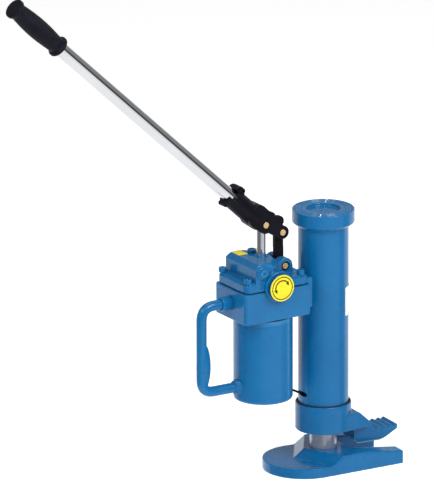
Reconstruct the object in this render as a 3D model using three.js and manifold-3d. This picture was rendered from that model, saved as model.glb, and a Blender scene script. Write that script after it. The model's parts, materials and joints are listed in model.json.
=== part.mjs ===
// Hydraulic toe jack: a fixed piston standing in a forked base, a lifting cylinder with a claw
// at its foot and a hand pump at its side. Millimetres, +Z up, +X towards the toe.
// The origin is on the floor under the middle of the piston rod.
import * as THREE from 'three';
import { mergeVertices } from 'three/addons/utils/BufferGeometryUtils.js';
import { ConvexGeometry } from 'three/addons/geometries/ConvexGeometry.js';
import Module from 'manifold-3d';

const wasm = await Module();
wasm.setup();

// ---------------------------------------------------------------- driving dimensions
const GAP = 0.3;
const COARSE = 12;
const MEDIUM = 20;
const FINE = 40;
const SEAL = 24;
const ARC = 5;
const CORNER = 3;

const BASE = {
  heelCentre: -36.5, heelRadius: 70.5, heelHeight: 17.4, tipX: 118.5, tipHalfWidth: 64, tipHeight: 22.5,
  topHeight: 32, slopeStart: 40, yawDegrees: -3.5,
  veeFoot: -58, veeTop: -37.5, veeLean: 0.58, reach: 96,
  slotStart: 33, slotHalfWidth: 36.5, slotCorner: 14, socketDepth: 14,
};
const ROD = { radius: 23, spigot: 14, shoulder: 343.7, top: 378.5, chamfer: 1.5 };
const PISTON = { bottom: 344, top: 370, radius: 29.4, grooveRadius: 26, grooveBottom: 353, grooveTop: 359 };
const PISTON_NUT = { radius: 21, height: 6.5, sides: 6 };

const TUBE = {
  outer: 42.5, inner: 37.5, bottom: 76.3, top: 431.7, stepInner: 34.3, stepTop: 106,
  slotZ: 130, slotHeight: 8, slotLength: 26, portZ: 300, portRadius: 3,
};
const LINER = { outer: 34, inner: 30, bottom: 100.3, top: 411.7, notchWidth: 6, notchDepth: 6 };
const ANNULUS_RING = { bottom: 150, top: 156 };
const GLAND = {
  flangeRadius: 40, bottom: 64.3, flangeTop: 68.7, radius: 33.9, top: 100, bore: 23.4,
  grooveRadius: 27.3, sealBottom: 84, sealTop: 90, wiperTop: 69,
};
const CLAW = {
  bottom: 64, top: 112, radius: 47.7, rim: 1.2, bore: 43, floorTop: 76, throat: 34.3,
  ringSeatRadius: 46.3, ringSeat: 108, armX: 71.5, armHalfWidth: 34, armTop: 72.5,
  shoulderX: 50, shoulderHalfWidth: 38, shoulderTop: 92, rootHalfWidth: 46.4,
};
const TOE = {
  halfWidth: 23.5, heelX: 46, heelZ: 42.5, soleX: 56.6, sole: 31.7, soleEndX: 97.5, soleEdge: 4,
  tipX: 129.3, tipLow: 48.6, crest: 56.8, landX: 125.3, valley: 53.6, toothPitch: 11.65, teeth: 3, rootX: 30,
};
const CAP = {
  radius: 52.5, rimBottom: 427, top: 449, coneBottom: 420, plugRadius: 37.2, plugBottom: 412,
  skirtInner: 42.8, skirtOuter: 43.6, seatZ: 432, rimChamfer: 1.5, recessRadius: 29, recessDepth: 5,
  dimpleRadius: 3.2, dimpleDepth: 2, grooveRadii: [48, 43, 38], grooveHalf: 0.9, grooveDepth: 1.2,
  sealBottom: 420, sealTop: 424, sealRadius: 34.5,
};

const PUMP_X = -119.4;
const BLOCK = {
  left: -184, right: -54.5, halfWidth: 50, bottom: 285, top: 337.7, corner: 8,
  sumpRadius: 44, sumpTop: 296, valveBore: 5.3, valveEnd: -95, valvePort: 2.5, armHole: 6.3, armHoleDepth: 10,
};
const GASKET = { bottom: 338, top: 339.2 };
const COVER = {
  left: -181, right: -57.5, halfWidth: 47.5, corner: 11, bottom: 339.5, top: 355.5, edge: 3,
  headLeft: -163, headRight: -108, headHalfWidth: 48, headTop: 386, headChamfer: 7, headCorner: 20,
  earInner: 8, earOuter: 23, earRadius: 14, earFoot: 346,
  bossX: -151, bossZ: 373, bossRadius: 11, bossFace: 53,
};
const SCREW = {
  x: [-174, -70.5], y: 40, headRadius: 6.5, headHeight: 8, shankRadius: 4, shankBottom: 312,
  socketRadius: 3.4, socketDepth: 4.5,
};
const BRACKET = { halfWidth: 24, bottom: 287, top: 340, right: -20 };
const RESERVOIR = { outer: 50, inner: 46.7, bottom: 137.5, floor: 142.5, top: 283.4, edge: 5 };
const RESERVOIR_SEAL = { inner: 47, outer: 49.4, bottom: 283.7, top: 284.7 };

const PLUNGER_X = -123;
const BARREL = { outer: 13, inner: 8.3, bottom: 200, floor: 210, top: 366, inlet: 3 };
const STRAINER = { outer: 15.5, inner: 13.3, bottom: 184, floor: 187, top: 206 };
const PLUNGER = { radius: 7.65, bottom: 256, eyeRadius: 11.5, eyeHalfWidth: 8 };
const PLUNGER_GLAND = { outer: 11, inner: 8, sealBottom: 366.3, sealTop: 372, bottom: 372.3, top: 387.5 };
const SUCTION_BALL = { radius: 4.5, z: 213.9 };
const DELIVERY_BALL = { radius: 4.3, x: -90.5 };
const DELIVERY_PLUG = { left: -68, right: -56, bore: 2.5 };

const LEVER_ANGLE = THREE.MathUtils.degToRad(43.1);
const P1 = { x: PLUNGER_X, z: 443 };
const P2 = { x: -90, z: 425 };
const P3 = { x: -89, z: 368 };
const PIN = { radius: 5.3, bore: 5.6, ringRadius: 7.7, ringSeat: 8, ringDepth: 2.2, ringThickness: 1.6 };
const CHEEK = {
  outer: 17, inner: 8.6, p1Radius: 15, p2Radius: 11.5, lobeX: 16.6, lobeZ: 19.4, lobeRadius: 9.5,
  rootX: -20, rootRadius: 17.5, gapEnd: -15, webRadius: 9.5, backX: -26, backEndX: 2, backZ: 9, backRadius: 13,
};
const SOCKET = {
  radius: 17.8, start: -14, mouth: -90, bore: 12.8, boreStart: -24, edge: 1.5,
  notchX: -81.5, notchLow: -4, notchHigh: 13, slitWidth: 3.4, slitStart: -55,
  lugWidth: 12, lugTop: 23.5, lugX: -79.5, lipRadius: 4, lipX: -86, lipZ: -17.5, lipWidth: 10,
  clampRadius: 2.7, clampHeadRadius: 4.5, clampHead: 4.5, clampZ: 18,
};
const LEVER_TUBE = { radius: 12.5, inner: 10, start: -24.5, end: -655 };
const GRIP = {
  start: -540, end: -659, bore: 12.8, neck: 14.2, swell: 3.4, swellSteps: 12, flange: 18.6,
  flangeLength: 5, disc: 17.6, discLength: 6, lead: 2, dimple: 2, dimpleDepth: 1.5, floor: 3,
};
const LINK = {
  halfWidth: 8.5, halfThickness: 3.5, eyeHalf: 4.5, eyeRadius: 11.3, slotHalfLength: 2.6, slotCentre: 1.05,
};

const RELEASE = {
  x: -121.6, z: 345.5, housingRadius: 26, housingFront: 55, housingRoot: 26, housingEdge: 2,
  bodyRadius: 15.5, bodyBack: 55.3, bodyFront: 57.7, spindleRadius: 4,
  spindleBore: 4.3, spindleInner: 20, holeInner: 12, knobRadius: 20.5, knobBack: 58, knobFront: 62.7,
  discRadius: 22.9, discFront: 64.8, discEdge: 0.6,
};
const FILLER = { x: -125, y: 26, radius: 7.5, bottom: 386.3, top: 391.5, socket: 3.5, socketDepth: 2.5 };
const RELIEF = { radius: 7.5, back: 53.3, front: 55.2, socket: 3.4, socketDepth: 1.4 };

const HANDLE = {
  radius: 8.8, bulgeX: -237, bulgeZ: 210, bulge: [13, 9.8, 42], outerX: -240.6, upperZ: 314, lowerZ: 164,
  bend: 24, upperEnd: -177, spigotRadius: 6, bossRadius: 12, bossLeft: -204, weldLeft: -178,
  weldRadius: 13.5, weldNeck: 10,
};
const STAY = { radius: 2, fromX: -68.6, fromZ: 142.6, toX: -37, toZ: 128.7 };

const WHITE_LABEL = { inner: 42.8, outer: 43.1, bottom: 266, top: 316, from: -63, to: 5, steps: 12 };
const YELLOW_LABEL = { left: -155, right: -137, front: 18, back: 44, bottom: 386.3, top: 386.7 };

// ---------------------------------------------------------------- materials
const COLOURS = {
  blue: [0x1f72ad, 0.3, 0.35], chrome: [0xd8dbe0, 1.0, 0.1], black: [0x15151a, 0.2, 0.5],
  brass: [0xd0a55a, 1.0, 0.35], steel: [0x9aa0a6, 1.0, 0.4], rubber: [0x101012, 0.0, 0.8],
  yellow: [0xffe600, 0.0, 0.5], white: [0xf4f4f2, 0.0, 0.6],
};

function material(kind) {
  const [color, metalness, roughness] = COLOURS[kind];
  return new THREE.MeshStandardMaterial({ name: kind, color, metalness, roughness });
}

// ---------------------------------------------------------------- solid helpers
// Merges equal points, drops collapsed triangles and turns the surface outwards.
function toSolid(geometry) {
  const bare = geometry.index ? geometry.toNonIndexed() : geometry.clone();
  bare.deleteAttribute('normal');
  bare.deleteAttribute('uv');
  const merged = mergeVertices(bare, 1e-4);
  const points = merged.attributes.position.array;
  const index = merged.index.array;
  const kept = [];
  let volume = 0;
  for (let i = 0; i < index.length; i += 3) {
    const [a, b, c] = [index[i], index[i + 1], index[i + 2]];
    if (a === b || b === c || a === c) continue;
    kept.push(a, b, c);
    const [p, q, r] = [a, b, c].map((k) => new THREE.Vector3().fromArray(points, 3 * k));
    volume += p.dot(q.cross(r));
  }
  if (volume < 0) {
    for (let i = 0; i < kept.length; i += 3) [kept[i], kept[i + 1]] = [kept[i + 1], kept[i]];
  }
  const mesh = new wasm.Mesh({
    numProp: 3, vertProperties: new Float32Array(points), triVerts: new Uint32Array(kept),
  });
  return new wasm.Manifold(mesh);
}

function toGeometry(solid) {
  const mesh = solid.getMesh();
  const geometry = new THREE.BufferGeometry();
  geometry.setAttribute('position', new THREE.BufferAttribute(new Float32Array(mesh.vertProperties), 3));
  geometry.setIndex(new THREE.BufferAttribute(new Uint32Array(mesh.triVerts), 1));
  geometry.computeVertexNormals();
  return geometry;
}

function join(...solids) {
  return solids.reduce((whole, next) => whole.add(next));
}

function cut(solid, ...tools) {
  return tools.reduce((left, tool) => left.subtract(tool), solid);
}

// Turned solid about Z; the profile is a list of [radius, height].
function turned(profile, segments = FINE) {
  const closed = profile[0][0] > 0 ? [...profile, profile[0]] : profile;
  const points = closed.map(([radius, height]) => new THREE.Vector2(radius, height));
  const geometry = new THREE.LatheGeometry(points, segments);
  geometry.rotateX(Math.PI / 2);
  return toSolid(geometry);
}

function ring(inner, outer, bottom, top, segments = FINE) {
  return turned([[inner, bottom], [outer, bottom], [outer, top], [inner, top]], segments);
}

function rod(radius, bottom, top, segments = MEDIUM) {
  return turned([[0, bottom], [radius, bottom], [radius, top], [0, top]], segments);
}

// A turned solid laid down: its axis runs along -Y or along X instead of Z.
function alongMinusY(solid, x, z) {
  return solid.rotate([90, 0, 0]).translate([x, 0, z]);
}

function alongX(solid, y, z) {
  return solid.rotate([0, 90, 0]).translate([0, y, z]);
}

function box(x0, x1, y0, y1, z0, z1) {
  const geometry = new THREE.BoxGeometry(x1 - x0, y1 - y0, z1 - z0);
  geometry.translate((x0 + x1) / 2, (y0 + y1) / 2, (z0 + z1) / 2);
  return toSolid(geometry);
}

// Upright prism over a plan outline.
function upright(shape, bottom, top, segments = ARC) {
  const geometry = new THREE.ExtrudeGeometry(shape, {
    depth: top - bottom, bevelEnabled: false, curveSegments: segments,
  });
  geometry.translate(0, 0, bottom);
  return toSolid(geometry);
}

// Plate standing in the XZ plane between two values of Y; the outline is drawn as (x, z).
function sideways(shape, y0, y1, segments = ARC) {
  const geometry = new THREE.ExtrudeGeometry(shape, {
    depth: y1 - y0, bevelEnabled: false, curveSegments: segments,
  });
  geometry.rotateX(Math.PI / 2);
  geometry.translate(0, y1, 0);
  return toSolid(geometry);
}

function polygon(points) {
  return new THREE.Shape(points.map(([x, y]) => new THREE.Vector2(x, y)));
}

function roundedRectangle(x0, x1, y0, y1, radius) {
  const shape = new THREE.Shape();
  shape.absarc(x1 - radius, y0 + radius, radius, -Math.PI / 2, 0, false);
  shape.absarc(x1 - radius, y1 - radius, radius, 0, Math.PI / 2, false);
  shape.absarc(x0 + radius, y1 - radius, radius, Math.PI / 2, Math.PI, false);
  shape.absarc(x0 + radius, y0 + radius, radius, Math.PI, 1.5 * Math.PI, false);
  return shape;
}

// Two circles joined by their outer tangents.
function taperedBar(x0, y0, r0, x1, y1, r1) {
  const along = Math.atan2(y1 - y0, x1 - x0);
  const lean = Math.acos((r0 - r1) / Math.hypot(x1 - x0, y1 - y0));
  const shape = new THREE.Shape();
  shape.absarc(x0, y0, r0, along + lean, along - lean + 2 * Math.PI, false);
  shape.absarc(x1, y1, r1, along - lean, along + lean, false);
  return shape;
}

// Convex block over a list of points mirrored in Y.
function mirroredHull(points) {
  const both = points.flatMap(([x, y, z]) => [new THREE.Vector3(x, y, z), new THREE.Vector3(x, -y, z)]);
  return toSolid(new ConvexGeometry(both));
}

// ---------------------------------------------------------------- base and piston
function baseOutline() {
  const reach = Math.hypot(BASE.tipX - BASE.heelCentre, BASE.tipHalfWidth);
  const tangent = Math.atan2(BASE.tipHalfWidth, BASE.tipX - BASE.heelCentre)
    + Math.acos(BASE.heelRadius / reach);
  const shape = new THREE.Shape();
  shape.absarc(BASE.heelCentre, 0, BASE.heelRadius, tangent, 2 * Math.PI - tangent, false);
  shape.lineTo(BASE.tipX, -BASE.tipHalfWidth);
  shape.lineTo(BASE.tipX, BASE.tipHalfWidth);
  return shape;
}

function basePlate() {
  const outline = baseOutline();
  const heel = upright(outline, 0, BASE.heelHeight, COARSE);
  const veeX = (start) => start + BASE.veeLean * BASE.reach;
  const platform = mirroredHull([
    [BASE.veeFoot, 0, 0], [veeX(BASE.veeFoot), BASE.reach, 0], [BASE.tipX + 1, BASE.reach, 0],
    [BASE.veeFoot, 0, BASE.heelHeight], [veeX(BASE.veeFoot), BASE.reach, BASE.heelHeight],
    [BASE.veeTop, 0, BASE.topHeight], [veeX(BASE.veeTop), BASE.reach, BASE.topHeight],
    [BASE.slopeStart, BASE.reach, BASE.topHeight], [BASE.tipX + 1, BASE.reach, BASE.tipHeight],
  ]).intersect(upright(outline, 0, BASE.topHeight, COARSE));
  const slot = upright(
    roundedRectangle(BASE.slotStart, BASE.tipX + BASE.reach, -BASE.slotHalfWidth, BASE.slotHalfWidth,
      BASE.slotCorner), -1, BASE.topHeight + 1);
  const socket = rod(ROD.radius + GAP, BASE.topHeight - BASE.socketDepth, BASE.topHeight + 1, FINE);
  return cut(join(heel, platform), slot, socket).rotate([0, 0, BASE.yawDegrees]);
}

function pistonRod() {
  const bottom = BASE.topHeight - BASE.socketDepth + GAP;
  const { radius, spigot, shoulder, top, chamfer } = ROD;
  return turned([[0, bottom], [radius - chamfer, bottom], [radius, bottom + chamfer],
    [radius, shoulder - chamfer], [radius - chamfer, shoulder], [spigot, shoulder],
    [spigot, top - chamfer], [spigot - chamfer, top], [0, top]]);
}

function pistonHead() {
  const { bottom, top, radius, grooveRadius, grooveBottom, grooveTop } = PISTON;
  const bore = ROD.spigot + GAP;
  return turned([[bore, bottom], [radius, bottom], [radius, grooveBottom], [grooveRadius, grooveBottom],
    [grooveRadius, grooveTop], [radius, grooveTop], [radius, top], [bore, top]]);
}

function pistonSeal() {
  return ring(PISTON.grooveRadius + GAP, PISTON.radius + GAP, PISTON.grooveBottom + GAP,
    PISTON.grooveTop - GAP, SEAL);
}

function pistonNut() {
  const bottom = PISTON.top + GAP;
  const blank = rod(PISTON_NUT.radius, bottom, bottom + PISTON_NUT.height, PISTON_NUT.sides);
  return cut(blank, rod(ROD.spigot + GAP, bottom - 1, bottom + PISTON_NUT.height + 1, FINE));
}

// ---------------------------------------------------------------- claw
function toeOutline() {
  const points = [[TOE.rootX, CLAW.bottom + 1], [TOE.heelX, CLAW.bottom + 1], [TOE.heelX, TOE.heelZ],
    [TOE.soleX, TOE.sole], [TOE.soleEndX, TOE.sole], [TOE.tipX, TOE.tipLow], [TOE.tipX, TOE.crest],
    [TOE.landX, TOE.crest]];
  for (let tooth = 0; tooth < TOE.teeth; tooth += 1) {
    const back = TOE.tipX - tooth * TOE.toothPitch;
    points.push([back - TOE.toothPitch / 2, TOE.valley], [back - TOE.toothPitch, TOE.crest]);
  }
  points.push([TOE.tipX - (TOE.teeth + 0.5) * TOE.toothPitch, TOE.valley], [CLAW.armX, CLAW.armTop],
    [TOE.rootX, CLAW.armTop]);
  return polygon(points);
}

// The sole's two long edges are bevelled.
function soleBevel() {
  const x0 = TOE.heelX - 1;
  const x1 = TOE.tipX;
  return mirroredHull([
    [x0, TOE.halfWidth, CLAW.armTop], [x1, TOE.halfWidth, CLAW.armTop],
    [x0, TOE.halfWidth, TOE.sole + TOE.soleEdge], [x1, TOE.halfWidth, TOE.sole + TOE.soleEdge],
    [x0, TOE.halfWidth - TOE.soleEdge, TOE.sole], [x1, TOE.halfWidth - TOE.soleEdge, TOE.sole],
  ]);
}

function claw() {
  const collar = turned([[0, CLAW.bottom + CLAW.rim], [0, CLAW.bottom], [CLAW.radius - CLAW.rim, CLAW.bottom],
    [CLAW.radius, CLAW.bottom + CLAW.rim], [CLAW.radius, CLAW.top - CLAW.rim],
    [CLAW.radius - CLAW.rim, CLAW.top], [0, CLAW.top]].slice(1));
  const arm = mirroredHull([
    [0, CLAW.rootHalfWidth, CLAW.bottom], [0, CLAW.rootHalfWidth, CLAW.shoulderTop],
    [CLAW.shoulderX, CLAW.shoulderHalfWidth, CLAW.shoulderTop],
    [CLAW.armX, CLAW.armHalfWidth, CLAW.bottom], [CLAW.armX, CLAW.armHalfWidth, CLAW.armTop],
  ]);
  const root = box(TOE.rootX, TOE.heelX, -TOE.halfWidth, TOE.halfWidth, CLAW.bottom + 1, CLAW.armTop);
  const toe = join(sideways(toeOutline(), -TOE.halfWidth, TOE.halfWidth).intersect(soleBevel()), root);
  return cut(join(collar, arm, toe).rotate([0, 0, BASE.yawDegrees]),
    rod(CLAW.bore, CLAW.floorTop, CLAW.top + 1, FINE),
    rod(CLAW.ringSeatRadius, CLAW.ringSeat, CLAW.top + 1, FINE),
    rod(CLAW.throat, CLAW.bottom - 1, CLAW.top, FINE),
    rod(GLAND.flangeRadius + GAP, CLAW.bottom - 40, GLAND.flangeTop + GAP, FINE));
}

function collarRing() {
  const bottom = CLAW.ringSeat + GAP;
  const inner = TUBE.outer + GAP;
  const outer = CLAW.ringSeatRadius - GAP;
  const crown = CLAW.top + 0.9;
  return turned([[inner, bottom], [outer, bottom], [outer, CLAW.top], [outer - 0.8, crown],
    [inner + 0.8, crown], [inner, CLAW.top]]);
}

// ---------------------------------------------------------------- lifting cylinder
function cylinderTube() {
  const { outer, inner, bottom, top, stepInner, stepTop } = TUBE;
  const tube = turned([[stepInner, bottom], [outer, bottom], [outer, top], [inner, top],
    [inner, stepTop], [stepInner, stepTop]]);
  const half = TUBE.slotHeight / 2;
  const slotEnd = TUBE.slotLength / 2 - half;
  const slot = new THREE.Shape();
  slot.absarc(0, slotEnd, half, 0, Math.PI, false);
  slot.absarc(0, -slotEnd, half, Math.PI, 2 * Math.PI, false);
  const cutter = upright(slot, inner - 5, outer + 5).rotate([0, -90, 0]).translate([0, 0, TUBE.slotZ]);
  const port = alongX(rod(TUBE.portRadius, -outer - 5, -inner + 5, COARSE), 0, TUBE.portZ);
  return cut(tube, cutter, port);
}

function cylinderLiner() {
  const { outer, inner, bottom, top, notchWidth, notchDepth } = LINER;
  const notch = box(-outer - 1, outer + 1, -notchWidth / 2, notchWidth / 2, top - notchDepth, top + 1);
  return cut(ring(inner, outer, bottom, top), notch);
}

function annulusRing() {
  return ring(LINER.outer + GAP, TUBE.inner - GAP, ANNULUS_RING.bottom, ANNULUS_RING.top, SEAL);
}

function glandNut() {
  const g = GLAND;
  return turned([[g.grooveRadius, g.bottom], [g.flangeRadius, g.bottom], [g.flangeRadius, g.flangeTop],
    [g.radius, g.flangeTop], [g.radius, g.top], [g.bore, g.top], [g.bore, g.sealTop],
    [g.grooveRadius, g.sealTop], [g.grooveRadius, g.sealBottom], [g.bore, g.sealBottom],
    [g.bore, g.wiperTop], [g.grooveRadius, g.wiperTop]]);
}

function rodSeal() {
  return ring(ROD.radius + GAP, GLAND.grooveRadius - GAP, GLAND.sealBottom + GAP, GLAND.sealTop - GAP, SEAL);
}

function rodWiper() {
  return ring(ROD.radius + GAP, GLAND.grooveRadius - GAP, GLAND.bottom + GAP, GLAND.wiperTop - GAP, SEAL);
}

function headCap() {
  const c = CAP;
  const profile = [[0, c.plugBottom], [c.plugRadius, c.plugBottom], [c.plugRadius, c.sealBottom],
    [c.sealRadius, c.sealBottom], [c.sealRadius, c.sealTop], [c.plugRadius, c.sealTop],
    [c.plugRadius, c.seatZ], [c.skirtInner, c.seatZ], [c.skirtInner, c.coneBottom],
    [c.skirtOuter, c.coneBottom], [c.radius, c.rimBottom], [c.radius, c.top - c.rimChamfer],
    [c.radius - c.rimChamfer, c.top]];
  for (const radius of c.grooveRadii) {
    profile.push([radius + c.grooveHalf, c.top], [radius, c.top - c.grooveDepth],
      [radius - c.grooveHalf, c.top]);
  }
  const recess = c.top - c.recessDepth;
  profile.push([c.recessRadius + 1, c.top], [c.recessRadius, c.top - 1], [c.recessRadius - 1, recess],
    [c.dimpleRadius, recess], [0, recess - c.dimpleDepth]);
  return turned(profile);
}

function capSeal() {
  return ring(CAP.sealRadius + GAP, CAP.plugRadius, CAP.sealBottom + GAP, CAP.sealTop - GAP, SEAL);
}

// ---------------------------------------------------------------- pump body
function screwPlaces() {
  return SCREW.x.flatMap((x) => [-SCREW.y, SCREW.y].map((y) => [x, y]));
}

function screwHoles(bottom, top) {
  return screwPlaces().map(([x, y]) => rod(SCREW.shankRadius + GAP, bottom, top, COARSE).translate([x, y, 0]));
}

function barrelHole(bottom, top) {
  return rod(BARREL.outer + GAP, bottom, top).translate([PLUNGER_X, 0, 0]);
}

function pumpBlock() {
  const b = BLOCK;
  const body = upright(roundedRectangle(b.left, b.right, -b.halfWidth, b.halfWidth, b.corner),
    b.bottom, b.top, CORNER);
  const sump = rod(b.sumpRadius, b.bottom - 1, b.sumpTop, FINE).translate([PUMP_X, 0, 0]);
  const valve = alongX(rod(b.valveBore, b.valveEnd, b.right + 1, COARSE), 0, TUBE.portZ);
  const port = alongX(rod(b.valvePort, PLUNGER_X, b.valveEnd + 1, COARSE), 0, TUBE.portZ);
  const armHole = alongX(rod(b.armHole, b.left - 1, b.left + b.armHoleDepth, COARSE), 0, HANDLE.upperZ);
  return cut(body, sump, barrelHole(b.bottom - 1, b.top + 1), valve, port, armHole,
    ...screwHoles(SCREW.shankBottom - 2, b.top + 1));
}

function pumpGasket() {
  const c = COVER;
  const sheet = upright(roundedRectangle(c.left, c.right, -c.halfWidth, c.halfWidth, c.corner),
    GASKET.bottom, GASKET.top, CORNER);
  return cut(sheet, barrelHole(GASKET.bottom - 1, GASKET.top + 1),
    ...screwHoles(GASKET.bottom - 1, GASKET.top + 1));
}

function coverFlange() {
  const c = COVER;
  const body = upright(roundedRectangle(c.left, c.right, -c.halfWidth, c.halfWidth, c.corner),
    c.bottom, c.top - c.edge, CORNER);
  const inset = c.edge;
  const top = upright(roundedRectangle(c.left + inset, c.right - inset, -c.halfWidth + inset,
    c.halfWidth - inset, c.corner - inset), c.top - c.edge, c.top, CORNER);
  return join(body, top);
}

function coverHead() {
  const c = COVER;
  const ch = c.headChamfer;
  const points = [];
  for (const [z, inset] of [[c.top - 1, 0], [c.headTop - ch, 0], [c.headTop, ch / 2]]) {
    const half = c.headHalfWidth - inset;
    const right = c.headRight - inset;
    points.push([c.headLeft + 2 * inset, half, z], [right - c.headCorner, half, z], [right, half - c.headCorner, z]);
  }
  return mirroredHull(points);
}

function coverEar(side) {
  const c = COVER;
  const inner = Math.min(side * c.earInner, side * c.earOuter);
  const eye = sideways(taperedBar(P3.x, c.earFoot, c.earRadius + 2, P3.x, P3.z, c.earRadius), inner,
    inner + c.earOuter - c.earInner);
  const web = box(c.headRight - 5, P3.x, inner, inner + c.earOuter - c.earInner, c.top - 1, P3.z + 8);
  const trim = box(c.headRight - 20, P3.x + 40, -c.headHalfWidth, c.headHalfWidth, c.bottom - 40, c.bottom + 2);
  return cut(join(eye, web), trim);
}

// Round housing of the release valve; its lower half hangs in front of the pump block.
function releaseHousing() {
  const r = RELEASE;
  const face = BLOCK.halfWidth + GAP;
  const drum = (back) => turned([[0, back], [r.housingRadius, back],
    [r.housingRadius, r.housingFront - r.housingEdge], [r.housingRadius - r.housingEdge, r.housingFront],
    [0, r.housingFront]]);
  const reach = r.housingRadius + 1;
  const below = box(r.x - reach, r.x + reach, -r.housingFront - 1, 0, r.z - reach, COVER.bottom);
  const upper = cut(alongMinusY(drum(r.housingRoot), r.x, r.z), below);
  return join(upper, alongMinusY(drum(face), r.x, r.z));
}

function pumpCover() {
  const c = COVER;
  const boss = alongMinusY(rod(c.bossRadius, c.halfWidth - 6, c.bossFace), c.bossX, c.bossZ);
  const pinHole = alongMinusY(rod(PIN.bore, -c.earOuter - 1, c.earOuter + 1), P3.x, P3.z);
  const seats = [-1, 1].map((side) => {
    const [low, high] = side > 0 ? [c.earOuter - PIN.ringDepth, c.earOuter + 1]
      : [-c.earOuter - 1, PIN.ringDepth - c.earOuter];
    return alongMinusY(rod(PIN.ringSeat, low, high), P3.x, P3.z);
  });
  const gland = rod(PLUNGER_GLAND.outer + GAP, BARREL.top - 1, c.headTop + 1).translate([PLUNGER_X, 0, 0]);
  const linkRoom = box(c.headRight - 1, P3.x + 18, -c.earInner, c.earInner, P3.z - 13, c.headTop + 1);
  const spindleHole = alongMinusY(rod(RELEASE.spindleBore, RELEASE.holeInner, RELEASE.housingFront + 1,
    COARSE), RELEASE.x, RELEASE.z);
  return cut(join(coverFlange(), coverHead(), coverEar(-1), coverEar(1), boss, releaseHousing()),
    barrelHole(c.bottom - 1, BARREL.top + GAP), gland, linkRoom, pinHole, ...seats, spindleHole,
    ...screwHoles(c.bottom - 1, c.top + 1));
}

function coverScrew(x, y) {
  const bottom = COVER.top + GAP;
  const top = bottom + SCREW.headHeight;
  const edge = 0.8;
  const screw = turned([[0, SCREW.shankBottom], [SCREW.shankRadius, SCREW.shankBottom],
    [SCREW.shankRadius, bottom], [SCREW.headRadius, bottom], [SCREW.headRadius, top - edge],
    [SCREW.headRadius - edge, top], [0, top]], MEDIUM);
  const socket = rod(SCREW.socketRadius, top - SCREW.socketDepth, top + 1, 6);
  return cut(screw, socket).translate([x, y, 0]);
}

function pumpBracket() {
  const b = BRACKET;
  const web = box(BLOCK.right + GAP, b.right, -b.halfWidth, b.halfWidth, b.bottom, b.top);
  const saddle = rod(TUBE.outer + GAP, b.bottom - 1, b.top + 1, FINE);
  const passage = alongX(rod(TUBE.portRadius, BLOCK.right - 1, b.right + 1, COARSE), 0, TUBE.portZ);
  return cut(web, saddle, passage);
}

function reservoir() {
  const { outer, inner, bottom, floor, top, edge } = RESERVOIR;
  const corner = [];
  const steps = 4;
  for (let step = 0; step <= steps; step += 1) {
    const angle = (step / steps) * (Math.PI / 2);
    corner.push([outer - edge + edge * Math.sin(angle), bottom + edge - edge * Math.cos(angle)]);
  }
  return turned([[0, bottom], ...corner, [outer, top], [inner, top], [inner, floor], [0, floor]])
    .translate([PUMP_X, 0, 0]);
}

function reservoirSeal() {
  const s = RESERVOIR_SEAL;
  return ring(s.inner, s.outer, s.bottom, s.top, SEAL).translate([PUMP_X, 0, 0]);
}

// ---------------------------------------------------------------- pump works
function pumpBarrel() {
  const b = BARREL;
  const tube = turned([[b.inlet, b.bottom], [b.outer, b.bottom], [b.outer, b.top], [b.inner, b.top],
    [b.inner, b.floor], [b.inlet, b.floor]], MEDIUM);
  const port = alongX(rod(BLOCK.valvePort, 2, b.outer + 1, COARSE), 0, TUBE.portZ);
  return cut(tube, port).translate([PLUNGER_X, 0, 0]);
}

function suctionStrainer() {
  const s = STRAINER;
  return turned([[0, s.bottom], [s.outer, s.bottom], [s.outer, s.top], [s.inner, s.top],
    [s.inner, s.floor], [0, s.floor]], MEDIUM).translate([PLUNGER_X, 0, 0]);
}

function ball(radius, x, y, z) {
  const geometry = new THREE.SphereGeometry(radius, COARSE, CORNER);
  geometry.translate(x, y, z);
  return toSolid(geometry);
}

function deliveryPlug() {
  const d = DELIVERY_PLUG;
  return alongX(ring(d.bore, BLOCK.valveBore - GAP, d.left, d.right, MEDIUM), 0, TUBE.portZ);
}

function plungerSeal() {
  const g = PLUNGER_GLAND;
  return ring(g.inner, g.outer, g.sealBottom, g.sealTop, MEDIUM).translate([PLUNGER_X, 0, 0]);
}

function plungerGland() {
  const g = PLUNGER_GLAND;
  return turned([[g.inner, g.bottom], [g.outer, g.bottom], [g.outer, g.top - 1], [g.outer - 1, g.top],
    [g.inner, g.top]], MEDIUM).translate([PLUNGER_X, 0, 0]);
}

function plunger() {
  const p = PLUNGER;
  const stem = rod(p.radius, p.bottom, P1.z, MEDIUM).translate([PLUNGER_X, 0, 0]);
  const eye = alongMinusY(rod(p.eyeRadius, -p.eyeHalfWidth, p.eyeHalfWidth), P1.x, P1.z);
  const hole = alongMinusY(rod(PIN.bore, -p.eyeHalfWidth - 1, p.eyeHalfWidth + 1), P1.x, P1.z);
  return cut(join(stem, eye), hole);
}

// ---------------------------------------------------------------- linkage
function pin(place, halfLength) {
  const chamfer = 0.7;
  const blank = turned([[0, -halfLength], [PIN.radius - chamfer, -halfLength],
    [PIN.radius, chamfer - halfLength], [PIN.radius, halfLength - chamfer],
    [PIN.radius - chamfer, halfLength], [0, halfLength]], MEDIUM);
  return alongMinusY(blank, place.x, place.z);
}

function pinRing(place, face, side) {
  const outer = side * (face - 0.3);
  const inner = side * (face - 0.3 - PIN.ringThickness);
  const washer = ring(PIN.bore, PIN.ringRadius, Math.min(inner, outer), Math.max(inner, outer), MEDIUM);
  return alongMinusY(washer, place.x, place.z);
}

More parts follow.
